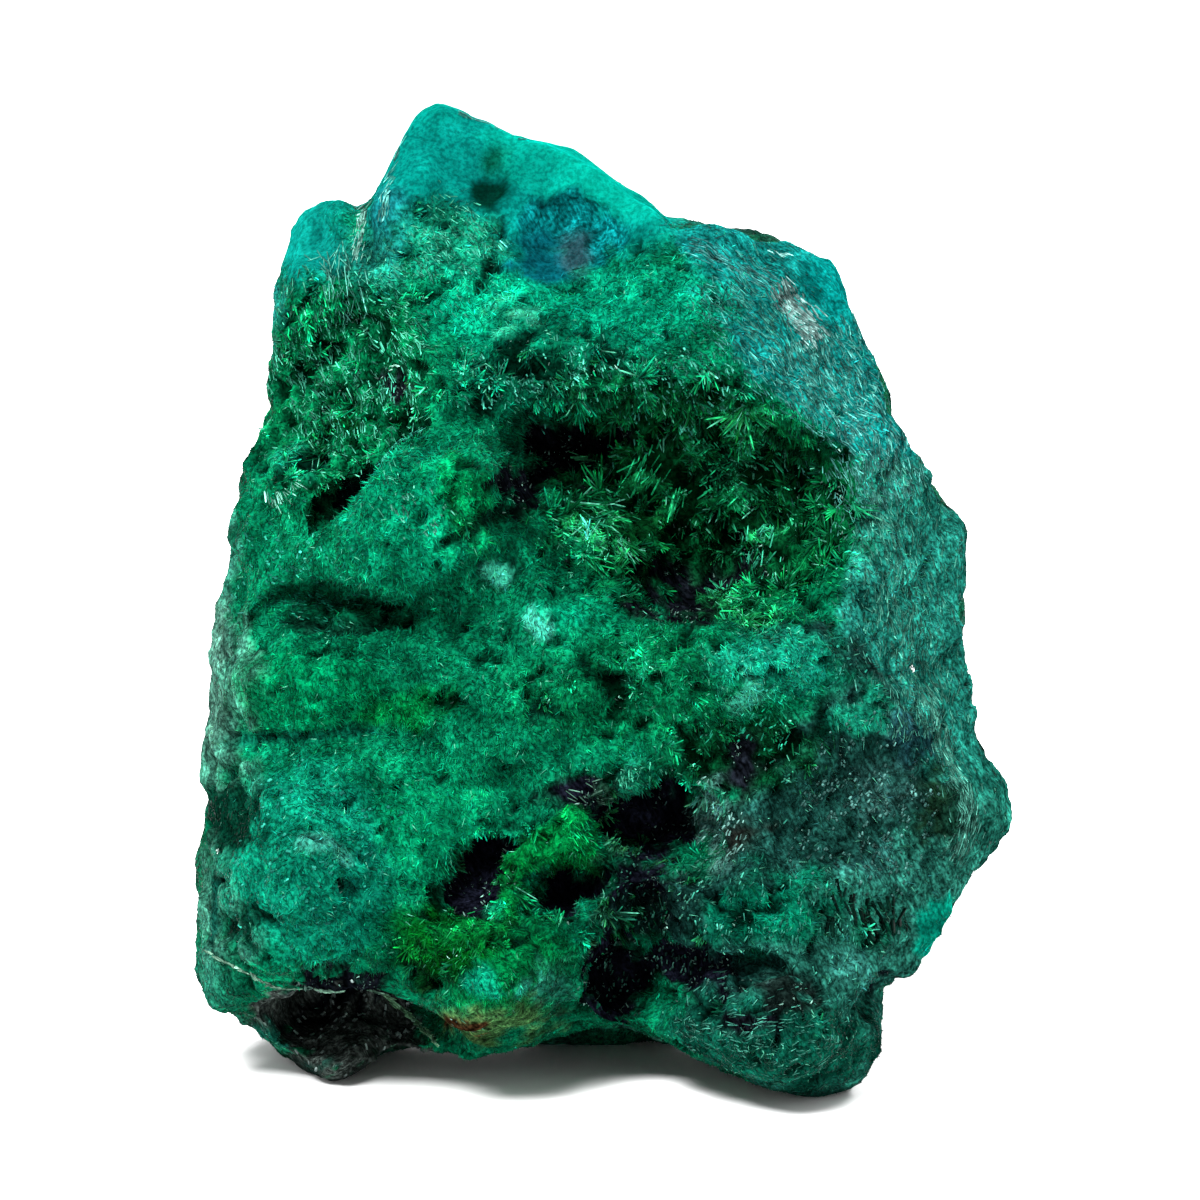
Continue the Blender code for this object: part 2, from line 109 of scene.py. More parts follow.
ZONES = [
    Zone("crown", -3.2, 19.4, 9.6, 5.0, -10, 0.35, Look((0.001, 0.165, 0.138), 0.0, 0.8)),
    Zone("crown, right facet", -0.8, 19.2, 5.0, 1.7, -24, 0.15, Look((0.001, 0.230, 0.175), 0.0, 0.9)),
    Zone("crown, bright end", 0.4, 19.0, 3.0, 1.2, -24, 0.5, Look((0.001, 0.255, 0.190), 0.0, 1.0)),
    Zone("crown dish", -0.9, 16.0, 2.9, 2.5, -24, 0.3, Look((0.001, 0.098, 0.101), 0.0, 0.2, push=-0.2)),
    Zone("dark foot of the dish", -1.6, 15.2, 2.2, 1.2, -20, 0.5, Look((0.001, 0.062, 0.078), 0.0, 0.4)),
    Zone("grey in the dish", -0.7, 15.4, 1.2, 1.4, -25, 0.5, Look((0.012, 0.044, 0.054), 0.0, 0.5)),
    Zone("slate under the crown", -9.0, 16.9, 1.6, 2.3, 10, 0.5, Look((0.004, 0.105, 0.110), 0.0, 0.3)),
    Zone("peak", -7.0, 22.0, 2.0, 1.2, 0, 0.9, Look((0.001, 0.185, 0.150), 0.0, 0.8, push=0.3)),
    Zone("left ear", -12.6, 16.0, 2.0, 3.2, 10, 0.5, Look((0.002, 0.200, 0.165), 0.0, 0.7)),
    Zone("ear top", -12.0, 18.0, 2.4, 1.6, 0, 0.9, Look((0.002, 0.200, 0.165), 0.0, 0.7, push=0.35)),
    Zone("ear slope", -10.0, 14.8, 2.4, 2.6, 0, 0.7, Look((0.007, 0.150, 0.120), 0.5, 0.1, 0.3, 0.05)),
    Zone("under the crown", -6.0, 15.9, 3.4, 2.6, -25, 0.5,
         Look((0.003, 0.150, 0.085), 0.9, 0.0, 0.3, 0.05)),
    Zone("green by the blotch", -4.3, 19.8, 1.0, 1.3, 0, 0.9, Look((0.001, 0.085, 0.050), 0.0, 0.6)),
    Zone("blotch", -4.5, 18.3, 1.35, 1.0, 8, 0.5, Look((0.0002, 0.016, 0.010), 0.0, 0.9)),
    Zone("left edge, teal", -14.4, 12.2, 1.3, 3.2, 8, 0.6, Look((0.012, 0.190, 0.165), 0.3, 0.2)),
    Zone("teal shoulder", 11.0, 14.2, 1.8, 2.6, 20, 0.6, Look((0.001, 0.140, 0.128), 0.1, 0.4)),
    Zone("upper field", -1.0, 13.2, 8.6, 2.6, 4, 0.4, Look((0.001, 0.215, 0.115), 1.0, 0.05, 0.1)),
    Zone("foot of the dish", -1.9, 14.9, 2.0, 0.9, -6, 0.5, Look((0.001, 0.062, 0.078), 0.0, 0.6)),
    Zone("grey foot of the dish", -0.6, 15.2, 0.9, 0.9, -25, 0.6, Look((0.012, 0.044, 0.054), 0.0, 0.6)),
    Zone("pale tuft", -3.6, 12.7, 1.3, 0.7, 0, 0.9, Look((0.060, 0.600, 0.360), 0.9, 0.1)),
    Zone("over the vug", -1.0, 10.0, 9.0, 2.4, 0, 0.6, Look((0.001, 0.085, 0.042), 0.8, 0.0, 0.9, 0.05)),
    Zone("dark band over the vug", 3.4, 9.4, 6.0, 0.9, -4, 0.8,
         Look((0.0006, 0.030, 0.014), 0.6, 0.0, 0.9, 0.05)),
    Zone("dark over the vug", 3.1, 8.9, 1.4, 0.9, 0, 0.7, DARK_AND_SHADE),
    Zone("left field", -11.2, 9.2, 5.2, 6.8, -8, 0.4, Look((0.001, 0.130, 0.046), 0.7, 0.0, 0.85, 0.08)),
    Zone("bright in the field", -11.6, 9.9, 1.8, 1.2, 0, 0.8,
         Look((0.002, 0.210, 0.075), 0.9, 0.0, 0.6, 0.1)),
    Zone("bright low in the field", -13.2, 6.4, 1.8, 1.2, 0, 0.8,
         Look((0.004, 0.210, 0.110), 0.9, 0.0, 0.6, 0.1)),
    Zone("black in the field", -8.6, 9.9, 0.9, 1.3, 0, 0.5, SHADED),
    Zone("olive in the field", -11.4, 8.0, 1.8, 0.9, 0, 0.8, OLIVE),
    Zone("left rim, upper", -16.7, 1.5, 1.0, 4.8, -3, 0.8, Look((0.030, 0.190, 0.130), 0.5, pale=0.03)),
    Zone("left rim, pale", -17.2, -3.4, 1.3, 4.6, 0, 0.5, Look((0.050, 0.150, 0.110), 0.3, pale=0.05)),
    Zone("boss", -7.8, 3.7, 4.4, 3.4, 38, 0.3, Look((0.001, 0.180, 0.085), 1.0, 0.1, 0.2, push=0.3)),
    Zone("boss, right lobe", -5.4, 4.2, 1.5, 2.6, 10, 0.5,
         Look((0.0003, 0.185, 0.058), 1.0, 0.05, 0.3, push=0.3)),
    Zone("olive on the boss", -5.9, 3.9, 0.6, 1.2, 0, 0.9, OLIVE),
    Zone("crevice, wide end", -11.1, 4.6, 1.0, 0.65, 40, 0.4, SHADED),
    # Painted shade under the boss.
    Zone("under the boss", -12.4, -0.3, 5.0, 1.2, -2, 0.7, Look((0.0005, 0.050, 0.022), 1.0, 0.0, 0.3)),
    Zone("main vug", 4.8, 4.6, 9.0, 6.2, -14, 0.35, Look((0.001, 0.078, 0.022), 0.5, 0.0, 1.1, 0.03)),
    Zone("olive in the vug", 2.6, 3.6, 2.2, 2.0, 0, 0.8, OLIVE),
    Zone("tufts, upper", 3.0, 5.9, 2.2, 1.2, 0, 0.7, LIT_TUFTS),
    Zone("tufts, lower", 0.4, 3.0, 2.3, 1.6, -20, 0.7, LIT_TUFTS),
    Zone("tufts, right", 4.5, 4.0, 0.9, 1.2, 0, 0.7, LIT_TUFTS),
    Zone("tufts, far right", 7.0, 7.7, 1.3, 1.1, 0, 0.8, LIT_TUFTS),
    Zone("tufts, right corner", 8.0, 3.6, 1.5, 1.3, 0, 0.8, LIT_TUFTS),
    Zone("tufts, right edge", 7.6, 5.6, 1.2, 0.9, 0, 0.8, LIT_TUFTS),
    Zone("tufts over the vug", 4.1, 7.8, 0.9, 0.7, 0, 0.8, LIT_TUFTS),
    Zone("vug cave", -1.4, 7.0, 2.2, 1.35, -8, 0.3, SHADED),
    Zone("vug cave, low", -3.0, 5.1, 1.4, 1.2, 0, 0.3, SHADED),
    Zone("vug cave, right", 0.9, 7.4, 0.9, 1.3, -20, 0.5, SHADED),
    Zone("dark right of the tufts", 5.6, 6.0, 1.2, 0.9, 0, 0.7, DARK_AND_SHADE),
    Zone("vug pocket", 4.6, -0.2, 2.7, 1.4, 10, 0.4, SHADED),
    Zone("vug pocket, upper", 3.6, 1.2, 1.7, 1.0, 16, 0.6, SHADED),
    Zone("vug pocket, right", 6.6, 1.5, 1.5, 1.1, 0, 0.7, SHADED),
    Zone("ledge", 3.6, -3.7, 8.8, 3.0, 6, 0.4, Look((0.001, 0.128, 0.048), 1.0, 0.05, 0.45, 0.02, 0.2)),
    Zone("ledge edge tufts", 7.0, -0.4, 1.6, 0.7, -20, 0.8, LIT_TUFTS),
    Zone("ledge, dark middle", 0.9, -3.2, 2.6, 0.8, -14, 0.9, DARK_AND_SHADE),
    Zone("ledge, dark hole", -1.7, -4.8, 0.9, 0.7, 30, 0.8, DARK_AND_SHADE),
    Zone("dark under the boss", -3.1, 1.5, 0.7, 0.6, 0, 0.7, DARK_AND_SHADE),
    Zone("ledge highlight", -1.6, -0.6, 2.2, 0.9, 5, 0.8, Look((0.001, 0.275, 0.140), 0.6, 0.3, push=0.1)),
    Zone("ledge highlight, pale", -2.5, -0.9, 0.8, 0.65, 0, 0.8, Look((0.060, 0.560, 0.400), 0.6, 0.2)),
    # A painted highlight by the boss.
    Zone("pale by the boss", -4.3, 1.1, 0.6, 0.7, 0, 0.8, Look((0.040, 0.420, 0.280), 0.6, 0.2)),
    Zone("ledge, pale end", 8.2, -2.8, 4.2, 2.2, 0, 0.8, Look((0.005, 0.270, 0.165), 0.9, 0.05, 0.2, 0.05)),
    Zone("ledge, pale spot", 6.9, -4.4, 1.1, 1.0, 0, 0.6, Look((0.030, 0.340, 0.220), 0.8, 0.1, 0.0, 0.1)),
    Zone("over the low hollows", 6.4, -6.8, 4.3, 2.3, 6, 0.5,
         Look((0.0008, 0.038, 0.012), 0.6, 0.0, 0.9, 0.04)),
    Zone("black over the hollows", 6.6, -7.3, 1.3, 1.5, -10, 0.6, SHADED),
    Zone("black by the break", 10.6, -5.3, 0.8, 1.0, 0, 0.7, DARK_AND_SHADE),
    Zone("teal over the break", 12.1, -4.8, 1.4, 1.0, 0, 0.6, Look((0.006, 0.220, 0.130), 0.8)),
    Zone("slate ridge", 14.3, -6.0, 1.5, 1.7, 10, 0.5, Look((0.006, 0.032, 0.036), 0.3)),
    Zone("grey on the break", 13.0, -8.6, 2.2, 1.6, 0, 0.8, Look((0.014, 0.060, 0.052), 0.3, pale=0.03)),
    Zone("grey, lower", 12.8, -11.8, 2.2, 1.2, 0, 0.8, Look((0.012, 0.068, 0.058), 0.3, pale=0.03)),
    Zone("olive on the break", 15.8, -9.4, 1.5, 2.1, 0, 0.5, Look((0.0035, 0.013, 0.006), 0.3)),
    Zone("left lobe", -12.2, -4.1, 4.6, 2.6, -6, 0.5, Look((0.0002, 0.172, 0.064), 1.0, 0.1)),
    Zone("middle green", -8.5, -4.9, 3.2, 1.0, 6, 0.8, Look((0.0003, 0.175, 0.040), 1.0, 0.0, 0.2)),
    Zone("lower left lobe", -12.6, -11.8, 5.2, 5.6, 12, 0.4,
         Look((0.002, 0.180, 0.104), 0.8, 0.15, 0, 0.02)),
    Zone("pale on the lobe", -12.1, -10.8, 0.7, 0.6, 0, 0.8, Look((0.028, 0.240, 0.175), 0.7, 0.1)),
    Zone("pale on the lobe, right", -10.9, -11.5, 0.5, 0.5, 0, 0.8, Look((0.028, 0.240, 0.175), 0.7, 0.1)),
    Zone("dark crescent", -10.4, -12.2, 0.5, 2.0, -20, 0.9, Look((0.001, 0.070, 0.045), 0.8)),
    Zone("dark patch", -16.4, -9.6, 2.2, 1.9, 0, 0.4, DARK_AND_SHADE),
    Zone("low dark patch", -15.7, -14.5, 1.9, 1.1, 10, 0.5, DARK_AND_SHADE),
    Zone("low left corner", -17.4, -18.0, 2.8, 3.4, 0, 1.0, Look((0.008, 0.095, 0.062), 0.3, push=0.45)),
    Zone("low middle green", -6.8, -9.6, 3.4, 3.6, 0, 0.5, Look((0.001, 0.205, 0.088), 1.0, 0.4, push=0.1)),
    Zone("low middle lobe", -3.6, -16.4, 3.6, 3.4, 0, 0.4, Look((0.0004, 0.138, 0.037), 0.9, 0.05, 0.1)),
    Zone("moss green", -6.5, -15.2, 3.1, 2.8, 10, 0.5, Look((0.0003, 0.052, 0.005), 0.9, 0.0, 0.5)),
    Zone("teal on the lobe", -4.7, -16.9, 1.7, 1.0, 0, 0.7, Look((0.002, 0.230, 0.125), 0.9, 0.1)),
    Zone("pale spot on the lobe", -3.2, -16.9, 0.4, 0.6, 0, 0.8, Look((0.020, 0.400, 0.270), 0.8, 0.1)),
    Zone("grey green on the lobe", -1.6, -17.2, 1.3, 1.9, 0, 0.7, Look((0.010, 0.120, 0.078), 0.7)),
    Zone("dark line on the lobe", -2.6, -14.8, 1.2, 0.4, -12, 0.8, DARK_AND_SHADE),
    Zone("olive under the arm", -3.7, -14.3, 0.9, 0.6, 0, 0.8, OLIVE),
    Zone("dark spots in the moss", -7.6, -16.6, 0.8, 1.0, 0, 0.8, OLIVE),
    Zone("moss green, upper", -5.6, -14.4, 2.8, 0.9, 10, 0.7, Look((0.0006, 0.070, 0.014), 0.9, 0.0, 0.4)),
    Zone("grey over rust", -4.4, -18.9, 3.4, 1.3, 0, 0.6, Look((0.036, 0.108, 0.034), 0.2)),
    Zone("rust", -5.6, -18.9, 1.2, 0.5, 0, 0.7, Look((0.030, 0.014, 0.006), 0.1)),
    Zone("wing tip", 19.4, -9.2, 4.6, 5.4, 0, 1.0, Look((0.008, 0.095, 0.068), 0.15, push=0.7)),
    Zone("low right green", 8.0, -14.0, 4.4, 2.2, 4, 0.5, Look((0.001, 0.095, 0.052), 0.9, 0.0, 0.3, 0.02)),
    Zone("streaks under the break", 12.4, -14.7, 2.2, 1.2, 0, 0.6,
         Look((0.002, 0.045, 0.025), 0.7, 0.0, 0.5, 0.05)),
    Zone("teal grey low", 12.0, -16.2, 2.1, 0.8, -6, 0.6, Look((0.020, 0.130, 0.105), 0.5, pale=0.05)),
    Zone("teal facet", 15.5, -15.0, 1.1, 1.7, 0, 0.2, Look((0.001, 0.150, 0.100), 0.1, 0.4)),
    Zone("low right foot", 8.4, -19.6, 6.2, 2.8, -8, 0.4, Look((0.002, 0.055, 0.034), 0.7, 0.0, 0.4, 0.05)),
    Zone("rubble", 2.4, -13.4, 3.0, 2.6, 0, 0.5, RUBBLE),
    Zone("dark foot patch", 6.8, -18.6, 2.2, 0.9, 0, 0.6, SHADED),
    Zone("low hollow, main", 2.6, -9.6, 2.5, 2.2, 0, 0.3, HOLLOW_SHADE),
    Zone("low hollow, strip", -0.6, -8.8, 2.1, 1.3, -20, 0.4, HOLLOW_SHADE),
    Zone("low hollow, middle", -1.1, -13.1, 1.2, 1.2, 0, 0.25, HOLLOW_SHADE),
    Zone("low hollow, left", -4.6, -12.3, 2.5, 1.5, 36, 0.3, HOLLOW_SHADE),
    Zone("low hollow, under the main", 1.8, -12.3, 2.4, 1.5, -10, 0.4, HOLLOW_SHADE),
    Zone("low hollow, foot", 1.2, -17.0, 1.5, 2.7, 0, 0.3, HOLLOW_SHADE),
    Zone("low hollow, tail", 4.0, -16.3, 3.3, 1.3, -4, 0.4, HOLLOW_SHADE),
    Zone("low hollow, top left", -4.1, -11.4, 1.5, 1.0, 0, 0.3, HOLLOW_SHADE),
    # Painted shade in the right tail of the low hollows.
    Zone("low hollow, right tail", 8.8, -17.2, 2.2, 0.9, -10, 0.6, Look((0.006, 0.014, 0.012), 0.3)),
    Zone("undercut", -11.3, -18.9, 3.3, 2.2, -5, 0.12, SHADED),
    Zone("undercut, floor", -11.2, -19.7, 2.9, 1.5, 0, 0.4, UNDERSIDE),
    Zone("undercut, right", -8.6, -19.8, 2.7, 0.9, -38, 0.15, UNDERSIDE),
    Zone("undercut, left", -14.1, -18.8, 1.9, 1.1, 25, 0.3, UNDERSIDE),
    Zone("undercut, foot", -11.4, -21.0, 3.6, 1.5, 0, 0.3, UNDERSIDE),
    Zone("left foot rubble", -14.6, -19.7, 1.3, 0.9, -20, 0.8,
         Look((0.005, 0.080, 0.055), 0.5, 0.0, 0.3, 0.05)),
    Zone("foot rubble, low", -12.3, -21.2, 1.3, 0.8, 0, 0.8, Look((0.012, 0.045, 0.034), 0.4)),
    Zone("foot hollow", 13.9, -17.6, 1.4, 0.8, 20, 0.6, SHADED),
    Zone("tuft", -1.2, -10.8, 1.8, 1.3, -5, 0.3, Look((0.0005, 0.185, 0.040), 1.0, 0.0, 0.1, push=0.5)),
    Zone("tuft, arm", -3.5, -12.7, 0.75, 1.9, -20, 0.5,
         Look((0.0005, 0.150, 0.030), 1.0, 0.0, 0.2, push=0.4)),
    Zone("hanging tuft", 2.0, -7.8, 1.0, 0.8, 0, 0.6,
         Look((0.006, 0.190, 0.100), 1.0, 0.0, 0.5, 0.1, push=0.4)),
    Zone("grey in the strip", 0.6, -8.6, 0.7, 0.5, 30, 0.8,
         Look((0.014, 0.060, 0.036), 0.4, 0.0, 0.3, 0.05)),
    Zone("rubble by the hollow", 5.4, -9.8, 1.1, 2.4, 10, 0.7,
         Look((0.050, 0.165, 0.140), 0.5, 0.0, 0.5, 0.15)),
    Zone("green in the rubble", 1.0, -11.2, 0.6, 0.4, 0, 0.8,
         Look((0.020, 0.150, 0.070), 0.7, 0.0, 0.3, 0.1)),
    Zone("brown patch", 6.9, -10.5, 1.6, 1.1, 35, 0.8, Look((0.0075, 0.0095, 0.0080), 0.2)),
]
SHADED_CREASES = [
    ShadedCrease("groove", [(-13.4, -0.7), (-11.4, -1.0), (-9.4, -0.9)], 0.3,
         Look((0.001, 0.010, 0.006), 0.1, push=-0.6)),
    ShadedCrease("left crease", [(-16.5, -6.3), (-13.5, -6.2), (-9.5, -5.8)], 0.2,
         Look((0.001, 0.05, 0.03), 0.5, push=-0.2)),
    ShadedCrease("crevice", [(-11.0, 4.6), (-9.8, 5.6), (-9.0, 6.6), (-7.6, 7.9)], 0.25,
         Look((0.001, 0.008, 0.006), 0.1, push=-0.7)),
    ShadedCrease("vug crease", [(-3.4, 4.2), (-4.6, 3.2), (-6.2, 2.5)], 0.30,
         Look((0.001, 0.006, 0.005), 0.1, push=-0.6)),
    ShadedCrease("left rim crease", [(-17.0, -12.6), (-17.1, -15.4)], 0.12,
         Look((0.001, 0.04, 0.028), 0.5, push=-0.1)),
]
# Fine crystals that lie along lines: the line through points (u, v), how far to its sides
# they lie (mm), how many to a millimetre, their length and width (mm), and their slant where
# they don't follow the line. Their pale colours are partly the crystals' own and partly painted glints.
Strokes = namedtuple("Strokes", "name points spread amount length width colour turn", defaults=(None,))
STROKES = [
    Strokes("low ledge line", [(-17.3, -15.8), (-13.9, -17.4), (-11.0, -17.5), (-9.3, -18.0), (-6.9, -20.1)],
            0.02, 22, 0.5, 0.07, (0.250, 0.500, 0.360)),
    Strokes("low ledge, wide end", [(-9.3, -18.0), (-6.9, -20.1)],
            0.05, 34, 0.5, 0.09, (0.220, 0.520, 0.280)),
    Strokes("ear streak", [(-10.3, 17.9), (-10.5, 15.3)], 0.14, 34, 0.7, 0.05, (0.190, 0.460, 0.380)),
    Strokes("lines under the ear", [(-11.5, 15.8), (-11.2, 14.2), (-10.7, 12.4)],
            0.55, 24, 1.5, 0.05, (0.090, 0.430, 0.330)),
    Strokes("crown's left edge", [(-8.4, 21.2), (-9.0, 19.4), (-9.3, 17.2)],
            0.10, 22, 0.6, 0.05, (0.110, 0.460, 0.400)),
    Strokes("crack in the crown", [(-5.8, 22.0), (-4.4, 21.5), (-2.9, 20.8)],
            0.05, 22, 0.5, 0.05, (0.090, 0.420, 0.370)),
    Strokes("edge of the boss", [(-9.9, 5.0), (-9.4, 6.0), (-8.7, 6.9), (-7.4, 7.7)],
            0.05, 24, 0.35, 0.06, (0.040, 0.420, 0.290)),
    Strokes("strokes in the field", [(-14.6, 10.5), (-7.6, 9.5)],
            2.2, 150, 0.55, 0.06, (0.060, 0.440, 0.280), -58),
    Strokes("strokes at the field's foot", [(-14.4, 4.2), (-12.8, 5.2)],
            0.22, 18, 0.55, 0.07, (0.200, 0.600, 0.450), -52),
    Strokes("strokes under the crown", [(-9.6, 14.0), (-4.6, 15.7)],
            1.0, 60, 0.5, 0.05, (0.050, 0.400, 0.270), -55),
    Strokes("strokes by the blotch", [(-7.6, 17.4), (-4.0, 15.4)],
            0.7, 44, 0.45, 0.05, (0.045, 0.370, 0.240), -48),
    Strokes("strokes over the vug", [(-5.8, 10.2), (7.2, 9.0)],
            0.9, 60, 0.32, 0.09, (0.055, 0.400, 0.280), -68),
    Strokes("strokes right in the vug", [(5.0, 8.5), (8.6, 3.0)],
            1.0, 60, 0.45, 0.08, (0.030, 0.480, 0.220), -50),
    Strokes("strokes over the hollows", [(3.6, -5.6), (8.8, -6.2)],
            0.9, 26, 0.35, 0.08, (0.020, 0.380, 0.220), 66),
    Strokes("strokes on the ledge", [(0.5, -3.4), (6.5, -2.2)],
            0.9, 20, 0.4, 0.07, (0.020, 0.400, 0.230), -60),
    Strokes("strokes in the middle", [(4.4, 6.6), (6.6, 4.6)], 0.6, 30, 0.8, 0.08, (0.02, 0.66, 0.25), 40),
    # The arcs in the vug are light beyond their own colour: partly painted light against the shade of the
    # vug.
    Strokes("arcs in the vug, upper", [(1.9, 6.3), (3.1, 5.2)],
            0.45, 26, 1.1, 0.08, (0.03, 1.00, 0.36), 64),
    Strokes("arcs in the vug, middle", [(3.6, 4.5), (5.0, 3.8)],
            0.30, 16, 1.4, 0.09, (0.04, 1.10, 0.40), 73),
    Strokes("arcs in the vug, lower", [(-1.2, 4.3), (1.7, 1.9)],
            0.8, 9, 0.9, 0.07, (0.03, 0.52, 0.22), -48),
    Strokes("arcs in the vug, lowest", [(-0.4, 2.4), (2.0, 1.9)],
            0.6, 9, 0.9, 0.07, (0.05, 0.48, 0.26), 58),
    Strokes("arc over the cave", [(-0.7, 6.6), (0.9, 6.0)], 0.08, 14, 0.9, 0.08, (0.14, 1.10, 0.45)),
    Strokes("inverted arc", [(-1.6, 3.9), (-0.9, 4.6), (0.0, 3.7)],
            0.05, 10, 0.9, 0.07, (0.06, 0.60, 0.36)),
    Strokes("strokes at the right edge", [(6.6, 6.2), (8.2, 5.2)],
            0.6, 34, 0.7, 0.08, (0.03, 0.66, 0.29), -35),
    Strokes("strokes at the upper right", [(5.9, 8.5), (8.2, 7.5)],
            0.5, 34, 0.6, 0.08, (0.03, 0.60, 0.28), -30),
    Strokes("strokes at the top", [(3.4, 8.0), (4.8, 7.4)], 0.25, 20, 0.5, 0.09, (0.10, 0.80, 0.56), -70),
    Strokes("strokes over the pocket", [(5.5, 0.6), (7.8, -0.5)],
            0.30, 22, 0.9, 0.08, (0.03, 0.46, 0.21), -63),
    Strokes("strokes in the right corner", [(7.4, 3.6), (8.4, 0.4)],
            0.5, 26, 0.9, 0.08, (0.05, 0.60, 0.34), 72),
    Strokes("fibres under the boss", [(-14.6, -0.1), (-8.6, -0.2)],
            0.6, 40, 0.4, 0.07, (0.008, 0.150, 0.090), -20),
    Strokes("dark streaks under the break", [(10.6, -13.6), (14.3, -14.4)],
            0.7, 12, 1.1, 0.20, (0.0008, 0.010, 0.006), -78),
    Strokes("dabs on the lower left lobe", [(-15.6, -10.6), (-8.6, -11.6)],
            1.8, 24, 0.26, 0.15, (0.020, 0.260, 0.190), 20),
    Strokes("dabs on the left lobe", [(-15.8, 1.7), (-9.6, 1.4)],
            0.9, 20, 0.25, 0.13, (0.020, 0.280, 0.190), -30),
    Strokes("dabs on the right ledge", [(6.6, -3.6), (12.4, -2.4)],
            1.0, 22, 0.25, 0.13, (0.020, 0.270, 0.190), 40),
    Strokes("grains on the boss", [(-8.7, 4.4), (-6.3, 3.2)],
            0.5, 26, 0.3, 0.10, (0.080, 0.380, 0.270), -60),
    Strokes("strokes in the moss", [(-7.6, -13.5), (-5.5, -16.5)],
            0.9, 16, 0.5, 0.06, (0.010, 0.250, 0.070), 48),
    Strokes("hanging needles", [(1.1, -7.8), (2.9, -7.8)], 0.25, 18, 0.8, 0.08, (0.070, 0.560, 0.340), -80),
    Strokes("arcs in the strip", [(-0.6, -8.2), (1.2, -8.9)],
            0.30, 13, 0.7, 0.06, (0.060, 0.140, 0.100), -22),
    Strokes("rubble by the hollow", [(4.5, -8.2), (6.2, -11.5)],
            0.7, 50, 0.28, 0.09, (0.140, 0.320, 0.280), 55),
    Strokes("rubble under the hollow", [(0.6, -12.6), (5.5, -13.8)],
            1.0, 50, 0.20, 0.10, (0.040, 0.190, 0.135), 70),
    Strokes("grains at the foot", [(0.8, -15.2), (1.4, -19.2)],
            0.7, 24, 0.22, 0.10, (0.055, 0.190, 0.140), 66),
    Strokes("grains in the tail", [(2.4, -16.0), (6.2, -16.6)],
            0.6, 20, 0.22, 0.10, (0.050, 0.160, 0.125), 74),
    # The flecks in the undercut are lightened beyond their own grey: painted light against the undercut's
    # shade.
    Strokes("flecks in the undercut", [(-13.4, -19.2), (-8.0, -19.6)],
            0.9, 40, 0.30, 0.14, (0.300, 0.400, 0.380), 80),
    Strokes("fibres of the foot", [(4.0, -18.4), (11.0, -20.4)],
            1.1, 60, 0.5, 0.055, (0.050, 0.260, 0.190), 14),
    Strokes("grains low on the right", [(4.5, -13.2), (12.5, -15.0)],
            1.3, 40, 0.35, 0.08, (0.030, 0.220, 0.155), 80),
    Strokes("grains of the break", [(9.5, -8.8), (15.2, -10.4)],
            2.0, 130, 0.20, 0.13, (0.052, 0.150, 0.132), 60),
    Strokes("shoulder streak", [(8.5, 14.0), (10.2, 11.6)], 0.34, 100, 0.8, 0.06, (0.165, 0.305, 0.285)),
    Strokes("shoulder streak, thin", [(4.6, 15.9), (8.4, 14.2)],
            0.30, 24, 0.8, 0.05, (0.045, 0.240, 0.225)),
    Strokes("fibres under the shoulder", [(5.5, 14.4), (10.4, 8.4)],
            1.2, 90, 0.7, 0.05, (0.030, 0.210, 0.170)),
    # The pale fibres of the flank are partly their own colour and partly painted sheen.
    Strokes("fibres of the upper flank", [(9.8, 11.8), (13.6, 4.4)],
            1.3, 150, 0.6, 0.05, (0.065, 0.300, 0.260)),
    Strokes("fibres of the flank", [(12.6, 6.0), (15.0, -6.0)], 1.2, 110, 0.5, 0.05, (0.050, 0.250, 0.185)),
    Strokes("glint on the flank", [(14.35, -2.95), (14.45, -3.15)], 0.03, 30, 0.26, 0.12, (2.0, 2.0, 2.0)),
    Strokes("glint on the shoulder", [(8.1, 15.75), (8.7, 15.6), (9.2, 15.7)],
            0.03, 11, 0.5, 0.05, (0.30, 0.75, 0.68)),
    Strokes("glint at the left", [(-16.75, -11.2), (-16.65, -11.35)],
            0.03, 30, 0.18, 0.09, (1.0, 1.3, 1.2)),
    Strokes("glint in the field", [(-9.1, 10.3), (-8.5, 10.6)], 0.05, 9, 0.40, 0.07, (0.4, 0.9, 0.7)),
    Strokes("fibres of the ridge", [(14.9, -4.0), (16.5, -8.1), (17.1, -9.8), (16.4, -11.8)],
            0.3, 60, 0.6, 0.05, (0.060, 0.250, 0.190)),
]
# The columns of a table of looks. Beside the look's own stand how far a place faces the
# viewer, how far in from the outline it lies and how open its felt is.
GREEN = 1
COVER, CLEAR, COARSE, PALENESS, PUSH, FACING, INNER, GAP = range(3, 11)

# The felt: needles per square millimetre, then their lengths and widths and how deep they
# are set in the stone, in mm
FELT = 58
FELT_LENGTH = (0.22, 0.50)
FELT_WIDTH = (0.050, 0.095)
FELT_ROOT = 0.06
# The sprays: how many to a square millimetre, how many needles each has and their sizes in
# mm. Needles left of FIELD_EDGE are the upper left field's, and the others the vug's. LYING
# is the share of sprays that lie flat, in the field and elsewhere.
FIELD_EDGE = -6
LYING = (0.5, 0.2)
SPRAYS = 3.6
SPRAY_NEEDLES = 13
SPRAY_LENGTH = 1.35
SPRAY_WIDTH = (0.05, 0.12)
SPRAY_ROOT = 0.12
SPRAY_LEAST = (0.001, 0.040, 0.014)
# The colour that pale needles tend to, which stands for painted glints, and how low a needle's tip may reach
# in mm
PALE_GLINT = (0.16, 0.80, 0.52)
LOWEST_TIP = 0.05
# The pale grains: how many to a square millimetre, their widths in mm and colour. They lie
# on stone whose colour has less green than SPECK_GREEN.
SPECKS = 18.0
SPECK_WIDTH = (0.03, 0.13)
SPECK_COLOUR = (0.10, 0.21, 0.17)
SPECK_GREEN = 0.016
